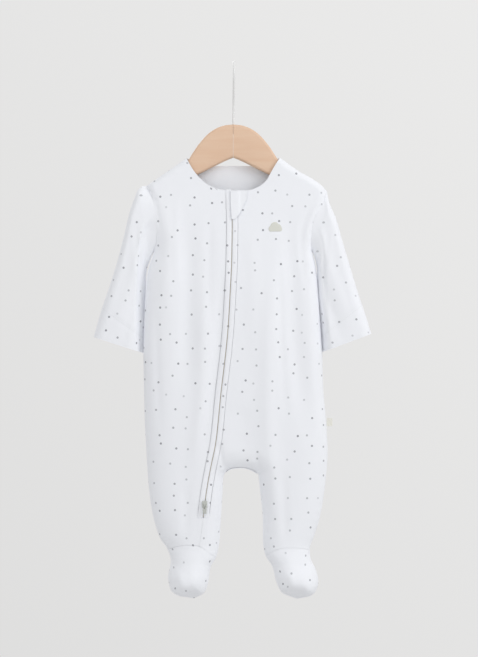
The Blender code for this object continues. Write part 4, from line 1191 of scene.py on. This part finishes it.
@dataclass(frozen=True)
class Finish:
    """A plain surface: what it is made of and how it meets the light."""

    name: str
    colour: str
    rough: float
    metal: float = 0.0
    sheen: float = 0.0
    grain: float = 0.0  # scale of its small relief, per metre
    relief: float = 0.0  # height of it, metres

    def build(self) -> bpy.types.Material:
        """Make the node material."""
        made = bpy.data.materials.new(self.name)
        made.use_nodes = True
        tree = made.node_tree
        shader = tree.nodes["Principled BSDF"]
        shader.inputs["Base Color"].default_value = linear(self.colour)
        shader.inputs["Roughness"].default_value = self.rough
        shader.inputs["Metallic"].default_value = self.metal
        shader.inputs["Sheen Weight"].default_value = self.sheen
        shader.inputs["Sheen Roughness"].default_value = 0.5
        if self.grain:
            place = node(tree, "ShaderNodeTexCoord")
            noise = node(tree, "ShaderNodeTexNoise", {"Scale": self.grain, "Detail": 3.0})
            bump = node(tree, "ShaderNodeBump", {"Distance": self.relief})
            join(tree, (place, "Object", noise, "Vector"), (noise, "Fac", bump, "Height"))
            join(tree, (bump, "Normal", shader, "Normal"))
        return made


@dataclass(frozen=True)
class Dotted(Finish):
    """The jersey's outside with its scatter of small grey dots, laid out in the cut's own UV."""

    dot: str = "96989E"
    spacing: float = 0.0212  # metres between dots
    radius: float = 0.0016

    def build(self) -> bpy.types.Material:
        """Make the node material."""
        made = super().build()
        tree = made.node_tree
        share = self.radius / self.spacing
        uv = node(tree, "ShaderNodeUVMap", uv_map="cut")
        scatter = {"Scale": 1 / self.spacing, "Randomness": 0.75}
        cells = node(tree, "ShaderNodeTexVoronoi", scatter, voronoi_dimensions="2D")
        edge = node(tree, "ShaderNodeMapRange", {"From Min": share, "From Max": 0.7 * share})
        shade = node(tree, "ShaderNodeSeparateColor")
        strength = node(tree, "ShaderNodeMapRange", {"To Min": 0.35, "To Max": 1.0})
        times = node(tree, "ShaderNodeMath", operation="MULTIPLY")
        colours = {"A": linear(self.colour), "B": linear(self.dot)}
        mix = node(tree, "ShaderNodeMix", colours, data_type="RGBA")
        join(tree, (uv, "UV", cells, "Vector"), (cells, "Distance", edge, "Value"))
        join(tree, (cells, "Color", shade, "Color"), (shade, "Red", strength, "Value"))
        join(tree, (edge, "Result", times, 0), (strength, "Result", times, 1))
        join(tree, (times, "Value", mix, "Factor"))
        join(tree, (mix, "Result", tree.nodes["Principled BSDF"], "Base Color"))
        return made


@dataclass(frozen=True)
class Wood(Finish):
    """Fine-sanded beech under a thin matt lacquer: long soft grain with short darker flecks."""

    dark: str = "DDB698"

    def build(self) -> bpy.types.Material:
        """Make the node material."""
        made = super().build()
        tree = made.node_tree
        shader = tree.nodes["Principled BSDF"]
        place = node(tree, "ShaderNodeTexCoord")
        stretch = {"Scale": (14.0, 90.0, 150.0), "Rotation": (0.0, 0.5, 0.0)}
        long = node(tree, "ShaderNodeMapping", stretch)
        grain = node(tree, "ShaderNodeTexNoise", {"Scale": 1.0, "Detail": 5.0, "Roughness": 0.6})
        short = node(tree, "ShaderNodeMapping", {"Scale": (220.0, 900.0, 900.0)})
        fleck = node(tree, "ShaderNodeTexNoise", {"Scale": 1.0, "Detail": 1.0})
        few = node(tree, "ShaderNodeMapRange", {"From Min": 0.6, "From Max": 0.75, "To Max": 0.6})
        most = node(tree, "ShaderNodeMath", operation="MAXIMUM")
        colours = {"A": linear(self.colour), "B": linear(self.dark)}
        mix = node(tree, "ShaderNodeMix", colours, data_type="RGBA")
        bump = node(tree, "ShaderNodeBump", {"Distance": 0.00004, "Strength": 0.6})
        join(tree, (place, "Object", long, "Vector"), (place, "Object", short, "Vector"))
        join(tree, (long, "Vector", grain, "Vector"), (short, "Vector", fleck, "Vector"))
        join(tree, (fleck, "Fac", few, "Value"), (grain, "Fac", most, 0), (few, "Result", most, 1))
        join(tree, (most, "Value", mix, "Factor"), (mix, "Result", shader, "Base Color"))
        join(tree, (grain, "Fac", bump, "Height"), (bump, "Normal", shader, "Normal"))
        return made


@dataclass(frozen=True)
class Stitch:
    """One kind of sewing, in millimetres: Geometry Nodes set a small rounded stitch at each pitch."""

    pitch: float
    long: float
    thick: float
    look: bpy.types.Material

    def group(self, name: str) -> tuple[bpy.types.NodeTree, dict[str, float]]:
        """The node group, and the values of its inputs in metres."""
        tree = bpy.data.node_groups.new(name, "GeometryNodeTree")
        tree.interface.new_socket(name="Geometry", in_out="INPUT", socket_type="NodeSocketGeometry")
        values = {}
        for label, value in (("Pitch", self.pitch), ("Length", self.long), ("Thickness", self.thick)):
            socket = tree.interface.new_socket(name=label, in_out="INPUT", socket_type="NodeSocketFloat")
            values[socket.identifier] = value * MM
        tree.interface.new_socket(name="Geometry", in_out="OUTPUT", socket_type="NodeSocketGeometry")
        given, made = node(tree, "NodeGroupInput"), node(tree, "NodeGroupOutput")
        spaced = node(tree, "GeometryNodeResampleCurve", mode="LENGTH")
        grain = node(tree, "GeometryNodeMeshIcoSphere", {"Radius": 0.5, "Subdivisions": 2})
        placed = node(tree, "GeometryNodeInstanceOnPoints")
        along = node(tree, "GeometryNodeInputTangent")
        turned = node(tree, "FunctionNodeAlignRotationToVector", axis="X")
        size = node(tree, "ShaderNodeCombineXYZ")
        real = node(tree, "GeometryNodeRealizeInstances")
        coated = node(tree, "GeometryNodeSetMaterial", {"Material": self.look})
        join(tree, (given, "Geometry", spaced, "Curve"), (given, "Pitch", spaced, "Length"))
        join(tree, (spaced, "Curve", placed, "Points"), (grain, "Mesh", placed, "Instance"))
        join(tree, (along, "Tangent", turned, "Vector"), (turned, "Rotation", placed, "Rotation"))
        join(tree, (given, "Length", size, "X"), (given, "Thickness", size, "Y"))
        join(tree, (given, "Thickness", size, "Z"), (size, "Vector", placed, "Scale"))
        join(tree, (placed, "Instances", real, "Geometry"), (real, "Geometry", coated, "Geometry"))
        join(tree, (coated, "Geometry", made, "Geometry"))
        return tree, values

    def sew(self, name: str, route: Points) -> None:
        """Lay a run of stitches along a route in millimetres, as a plain mesh of the garment."""
        guide = guide_line(name + "_path", route)
        step = guide.modifiers.new("stitches", "NODES")
        step.node_group, values = self.group(name)
        for key, value in values.items():
            step[key] = value
        dress(swept(name, guide))


def sew_all(woven: bpy.types.Material, thread: bpy.types.Material, hems: dict[Side, Points]) -> None:
    """Lay the zip's coil, the stitches beside the welts and those of the cuffs' hems.

    Args:
        woven: the coil's material.
        thread: the stitches' material.
        hems: the line of each cuff's stitches.
    """
    drops = np.linspace(164, ZIP_END - 3, 400)
    centre = zip_edge(drops, 0)[:, 0]
    Stitch(1.5, 1.1, 1.2, woven).sew("zip_coil", on_front(centre[:, None], drops[:, None], -0.45))
    for side in Side:
        line = on_front((centre + side.value * 7.9)[:, None], drops[:, None], 0.0)
        Stitch(2.6, 1.8, 0.3, thread).sew(f"welt_stitches_{side.name.lower()}", line)
    for side, line in hems.items():
        Stitch(2.5, 1.8, 0.4, thread).sew(f"cuff_stitches_{side.name.lower()}", line)


ARM_TOP = Path(
    (-1.25, 77.1), (-10.0, 77.9), (-19.5, 80.6), (-27.5, 85.0), (-34.4, 90.5), (-46.0, 104.0), (-53.0, 114.6)
)
ARM_UNDER = Path((-1.25, 118.6), (-8.0, 121.2), (-46.8, 140.4), (-72.0, 152.0), (-92.0, 161.5))


@dataclass
class Hanger:
    """The small hanger: two beech arms mitred at the centre, and the wire hook."""

    beech: bpy.types.Material
    paint: bpy.types.Material
    mitre: float = -1.25  # x of the joint between the arms
    joint: float = 0.15  # half the space in it
    half: float = 5.0  # half the wood's thickness
    end: float = 95.0  # x where the shaped crown ends
    under: float = 3.0  # the cloth's shoulder lies this far above the wood
    dip: float = 1.8  # and this much more beside the neck
    round_rim: float = 3.4
    wire: float = 1.5
    hook_inside: float = 15.0
    shank_in_wood: float = 12.0
    bend: float = -58.0  # z where the wire leaves the shank's line

    def outline(self, side: int) -> Points:
        """Outline (x, drop) of the arm on one side."""
        shoulder = SHOULDER_LEFT if side < 0 else SHOULDER_RIGHT
        crown, under = ARM_TOP.at(np.linspace(0, 1, 40)), ARM_UNDER.at(np.linspace(0, 1, 24))
        if side > 0:
            crown, under = (line * [-1, 1] + [2 * self.mitre, 0] for line in (crown, under))
        seam = shoulder.at(np.linspace(0, 1, 30))
        along = unit(np.gradient(seam, axis=0))
        down = np.stack([-along[:, 1], along[:, 0]], axis=1)
        down *= np.sign(down[:, 1:])
        travel = np.linalg.norm(seam - seam[0], axis=1)
        seam = seam + (self.under + self.dip * np.exp(-((travel / 8.0) ** 2)))[:, None] * down
        seam = seam[abs(seam[:, 0]) < self.end]
        tip = seam[-1] + [[side * 1.6, 4.0], [side * 1.0, 9.5]]
        outline = np.vstack([crown, seam[1:], tip, under[::-1]])
        outline[[0, -1], 0] = self.mitre + side * self.joint
        return outline

    def arm(self, name: str, side: int) -> bpy.types.Object:
        """One arm: a shaped board with softly rounded rims.

        Args:
            name: the piece.
            side: -1 left or 1 right.

        Returns:
            The object.
        """
        mesh = bmesh.new()
        deep = self.half * MM
        face = mesh.faces.new([mesh.verts.new((x * MM, -deep, -drop * MM)) for x, drop in self.outline(side)])
        for item in bmesh.ops.extrude_face_region(mesh, geom=[face])["geom"]:
            if isinstance(item, bmesh.types.BMVert):
                item.co.y = deep
        bmesh.ops.recalc_face_normals(mesh, faces=mesh.faces[:])
        mitre = (self.mitre + side * self.joint) * MM
        rims = [
            edge for edge in mesh.edges
            if abs(edge.verts[0].co.y - edge.verts[1].co.y) < 1e-7
            and not all(abs(v.co.x - mitre) < 1e-6 for v in edge.verts)
        ]
        rounded(mesh, rims, self.round_rim, 6)
        return bmesh_object(name, mesh, self.beech, 50)

    def hook(self) -> bpy.types.Object:
        """The wire: up from the wood, forward of the rail's place, over it and down behind."""
        radius, centre, bend = self.hook_inside + self.wire, -self.hook_inside, self.bend
        low = -ARM_TOP.points[0][1] - self.shank_in_wood
        route = [(0.0, z) for z in np.linspace(low, bend, 12)]
        route += [(-radius * eased(s), bend + (centre - bend) * s) for s in np.linspace(0, 1, 30)[1:-1]]
        turn = np.linspace(0, math.pi, 48)
        route += [(-radius * math.cos(a), centre + radius * math.sin(a)) for a in turn]
        route += [(radius, centre - 5.0), (radius - 0.6, centre - 9.0)]
        line = [(self.mitre * np.clip(z / low, 0, 1), y, z) for y, z in route]
        guide = guide_line("wire_guide", np.array(line))
        guide.data.bevel_depth = self.wire * MM
        guide.data.bevel_resolution = 6
        guide.data.use_fill_caps = True
        made = swept("wire_hook", guide)
        made.data.materials.clear()
        made.data.materials.append(self.paint)
        return made

    def dress(self) -> None:
        """Build the arms and the hook and tie them to the frame."""
        for side, solid in zip((-1, 1), ARMS):
            dress(self.arm(solid.replace("hanger", "wood"), side), solid)
        dress(self.hook(), "hanger_hook")


def rounded(mesh: bmesh.types.BMesh, edges: list, radius: float, segments: int) -> None:
    """Round edges of a mesh to a radius in millimetres."""
    size = {"offset": radius * MM, "segments": segments, "profile": 0.5}
    bmesh.ops.bevel(mesh, geom=edges, affect="EDGES", clamp_overlap=True, **size)


def finished_copy(name: str, look: bpy.types.Material, radius: float) -> bpy.types.Object:
    """A solid's own form with its edges rounded and its real surface.

    Args:
        name: the solid.
        look: its material.
        radius: the edges' radius in millimetres.

    Returns:
        The object.
    """
    source = bmesh.new()
    source.from_mesh(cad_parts[name].data)
    bmesh.ops.remove_doubles(source, verts=source.verts[:], dist=0.00001)
    verts, edges = source.verts[:], source.edges[:]
    bmesh.ops.dissolve_limit(source, angle_limit=math.radians(1), verts=verts, edges=edges)
    bent = [e for e in source.edges if len(e.link_faces) == 2 and e.calc_face_angle() > math.radians(35)]
    rounded(source, bent, radius, 3)
    return bmesh_object(name + "_finish", source, look, 35)


def label_loop(look: bpy.types.Material) -> bpy.types.Object:
    """The blank woven label, folded in two and sewn into the side seam."""
    low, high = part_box("side_label")
    x0, x1, half = low.x / MM, high.x / MM, 0.5
    bend = np.linspace(-math.pi / 2, math.pi / 2, 12)
    profile = [(x, -half) for x in np.linspace(x0, x1 - half, 10)]
    profile += [(x1 - half + half * math.cos(a), half * math.sin(a)) for a in bend[1:-1]]
    profile += [(x, half) for x in np.linspace(x1 - half, x0, 10)]
    profile = np.array(profile)
    rows = np.linspace(high.z / MM, low.z / MM, 12)
    outer = np.array([(x, y, z) for z in rows for x, y in profile])
    along = unit(np.gradient(profile, axis=0))
    into = np.stack([-along[:, 1], along[:, 0], 0 * along[:, 0]], axis=1) * 0.38
    inner = outer + np.tile(into, (len(rows), 1))
    return wall("label_loop", outer, inner, net_quads(len(rows), len(profile)), [look], outer[:, :2] * MM)


@dataclass
class Cloud:
    """The small grey cloud sewn on the chest: round lobes over a flat base."""

    x: float = 51.2
    drop: float = 211.3
    lobes: tuple = ((-4.6, 3.3, 3.9), (-0.6, 6.2, 5.6), (3.2, 5.0, 4.4), (5.6, 2.9, 2.9))  # x, up, radius
    middle: tuple = (0.2, 3.4)  # where its rays start, from the base's middle

    def rays(self) -> tuple[Points, Points]:
        """Directions round the cloud and the reach of its edge along each."""
        turns = np.linspace(0, 2 * math.pi, 96, endpoint=False)
        reach = np.arange(0, 12, 0.04)
        x = self.middle[0] + reach[None] * np.cos(turns)[:, None]
        up = self.middle[1] + reach[None] * np.sin(turns)[:, None]
        inside = (abs(x) < 5.0) & (up < 3.6)
        for lobe_x, lobe_up, radius in self.lobes:
            inside |= (x - lobe_x) ** 2 + (up - lobe_up) ** 2 < radius**2
        inside &= up > 0
        return turns, np.array([reach[row].max() for row in inside])

    def dress(self, look: bpy.types.Material) -> None:
        """Build the cloud and tie it to the frame."""
        turns, edge = self.rays()
        shares = np.array([0.02, 0.25, 0.5, 0.75, 0.9, 0.97, 1.0])
        lifts = np.array([0.45, 0.45, 0.45, 0.45, 0.42, 0.34, 0.16])
        reach = shares[:, None] * edge[None]
        x = self.x + self.middle[0] + reach * np.cos(turns)[None]
        drop = self.drop - self.middle[1] - reach * np.sin(turns)[None]
        outer, inner = on_front(x, drop, lifts[:, None]), on_front(x, drop, np.array(0.08))
        count = len(turns)
        quads = []
        for start in range(0, (len(shares) - 1) * count, count):
            for c in range(count):
                a, b = start + c, start + (c + 1) % count
                quads.append((a, a + count, b + count, b))
        quads.append(tuple(range(count)))
        piece = wall("cloud_patch", outer, inner, quads, [look], outer[:, [0, 2]] * MM)
        dress(piece)


@dataclass(frozen=True)
class Lamp:
    """A square soft lamp aimed at the garment's middle."""

    name: str
    place: tuple[float, float, float]
    power: float
    size: float

    def build(self) -> None:
        """Add the lamp."""
        data = bpy.data.lights.new(self.name, "AREA")
        data.energy = self.power
        data.size = self.size
        lamp = new_object(self.name, data)
        lamp.location = self.place
        aim = mathutils.Vector((-self.place[0], -self.place[1], -self.place[2] - 0.35))
        lamp.rotation_euler = aim.to_track_quat("-Z", "Y").to_euler()


@dataclass
class Studio:
    """The camera, the soft lamps and a pale room."""

    eye: tuple[float, float, float] = (0.006, -2.4, -0.332)
    lens: float = 105.2
    wall: tuple[float, float] = (0.735, 0.83)  # brightness of the wall behind, lower left and upper right
    room: float = 0.74  # brightness of the room in front against the wall
    lamps: tuple[Lamp, ...] = (
        Lamp("key", (1.9, -1.25, 0.8), 17.0, 0.9),
        Lamp("fill", (-1.5, -2.2, 0.1), 6.8, 1.8),
        Lamp("above", (0.1, -1.5, 0.9), 5.0, 1.0),
        Lamp("behind", (-0.8, 1.6, 0.8), 7.0, 1.4),
    )
    floor_half: float = 1500.0
    floor_drop: float = 1250.0

    def sky(self) -> None:
        """The room's light: brightest at the wall's upper right, dimmer in front."""
        world = bpy.data.worlds.new("pale_room")
        world.use_nodes = True
        tree = world.node_tree
        shine = tree.nodes["Background"]
        way = node(tree, "ShaderNodeTexCoord")
        parts = node(tree, "ShaderNodeSeparateXYZ")
        both = node(tree, "ShaderNodeMath")
        low, high = self.wall
        across = {"From Min": -0.3, "From Max": 0.3, "To Min": low, "To Max": high}
        tilt = node(tree, "ShaderNodeMapRange", across)
        deep = {"From Min": -0.4, "From Max": 0.7, "To Min": self.room, "To Max": 1.0}
        room = node(tree, "ShaderNodeMapRange", deep)
        level = node(tree, "ShaderNodeMath", operation="MULTIPLY")
        join(tree, (way, "Generated", parts, "Vector"), (parts, "X", both, 0), (parts, "Z", both, 1))
        join(tree, (both, "Value", tilt, "Value"), (parts, "Y", room, "Value"))
        join(tree, (tilt, "Result", level, 0), (room, "Result", level, 1))
        join(tree, (level, "Value", shine, "Strength"))
        shine.inputs["Color"].default_value = (1.0, 0.997, 0.992, 1.0)
        bpy.context.scene.world = world

    def build(self) -> None:
        """Add the camera, the lamps, the room's light and the floor."""
        data = bpy.data.cameras.new("camera")
        data.sensor_width = 36
        data.lens = self.lens
        data.clip_end = 20
        camera = new_object("camera", data)
        camera.location = self.eye
        camera.rotation_euler = (math.radians(90), 0, 0)
        bpy.context.scene.camera = camera
        for lamp in self.lamps:
            lamp.build()
        self.sky()
        bpy.context.scene.view_settings.view_transform = "Standard"
        half, z = self.floor_half, -self.floor_drop
        corners = np.array([(-half, -half, z), (half, -half, z), (half, half, z), (-half, half, z)])
        pale = Finish("pale_floor", "DCDCDC", 0.9, 0, 0, 40.0, 0.0002).build()
        mesh_object("floor", corners, [(0, 1, 2, 3)], [pale])


def main() -> None:
    """Dress every solid and set the studio."""
    logging.basicConfig(level=logging.INFO)
    plain = Finish("cotton_jersey", "F3F5FA", 0.92, 0.0, 0.15, 2600.0, 0.00012).build()
    dotted = Dotted("dotted_jersey", "F3F5FA", 0.92, 0.0, 0.15, 2600.0, 0.00012).build()
    rib = Finish("folded_jersey", "F3F5FA", 0.92, 0.0, 0.15, 2600.0, 0.0001).build()
    woven = Finish("woven_tape", "E6DFD0", 0.75, 0.0, 0.1, 3000.0, 0.0001).build()
    thread = Finish("cotton_thread", "E8EAEC", 0.8).build()
    zinc = Finish("painted_zinc", "C6C9C4", 0.4, 0.2, 0.0, 900.0, 0.00002).build()
    beech = Wood("beech_wood", "E9CDB4", 0.48).build()
    wire = Finish("painted_wire", "E6E6E6", 0.3, 0.0, 0.0, 500.0, 0.00001).build()
    label = Finish("woven_label", "E9E8E0", 0.7, 0.0, 0.1, 3500.0, 0.00005).build()
    grey = Finish("grey_stitching", "DBDCD4", 0.85, 0.0, 0.1, 3000.0, 0.0001).build()
    jersey = [dotted, plain]
    Body(jersey).dress()
    sleeves = (
        Sleeve(Side.LEFT, SIDE_LEFT, TIP_LEFT, SLEEVE_LEFT | SLEEVE_DEPTH, 0.66, 0.0189),
        Sleeve(Side.RIGHT, SIDE_RIGHT, TIP_RIGHT, SLEEVE_RIGHT | SLEEVE_DEPTH, 0.78, 0.01745),
    )
    hems = {sleeve.side: sleeve.dress(jersey) for sleeve in sleeves}
    Gusset([plain, plain]).dress()
    Feet(jersey).dress()
    Zip(dotted, woven, rib).dress()
    sew_all(woven, thread, hems)
    Hanger(beech, wire).dress()
    dress(finished_copy("zip_slider", zinc, 0.35), "zip_slider")
    dress(finished_copy("zip_pull", zinc, 0.15), "zip_pull", PULL)
    dress(label_loop(label), "side_label")
    Cloud().dress(grey)
    Studio().build()


if __name__ == "__main__":
    main()
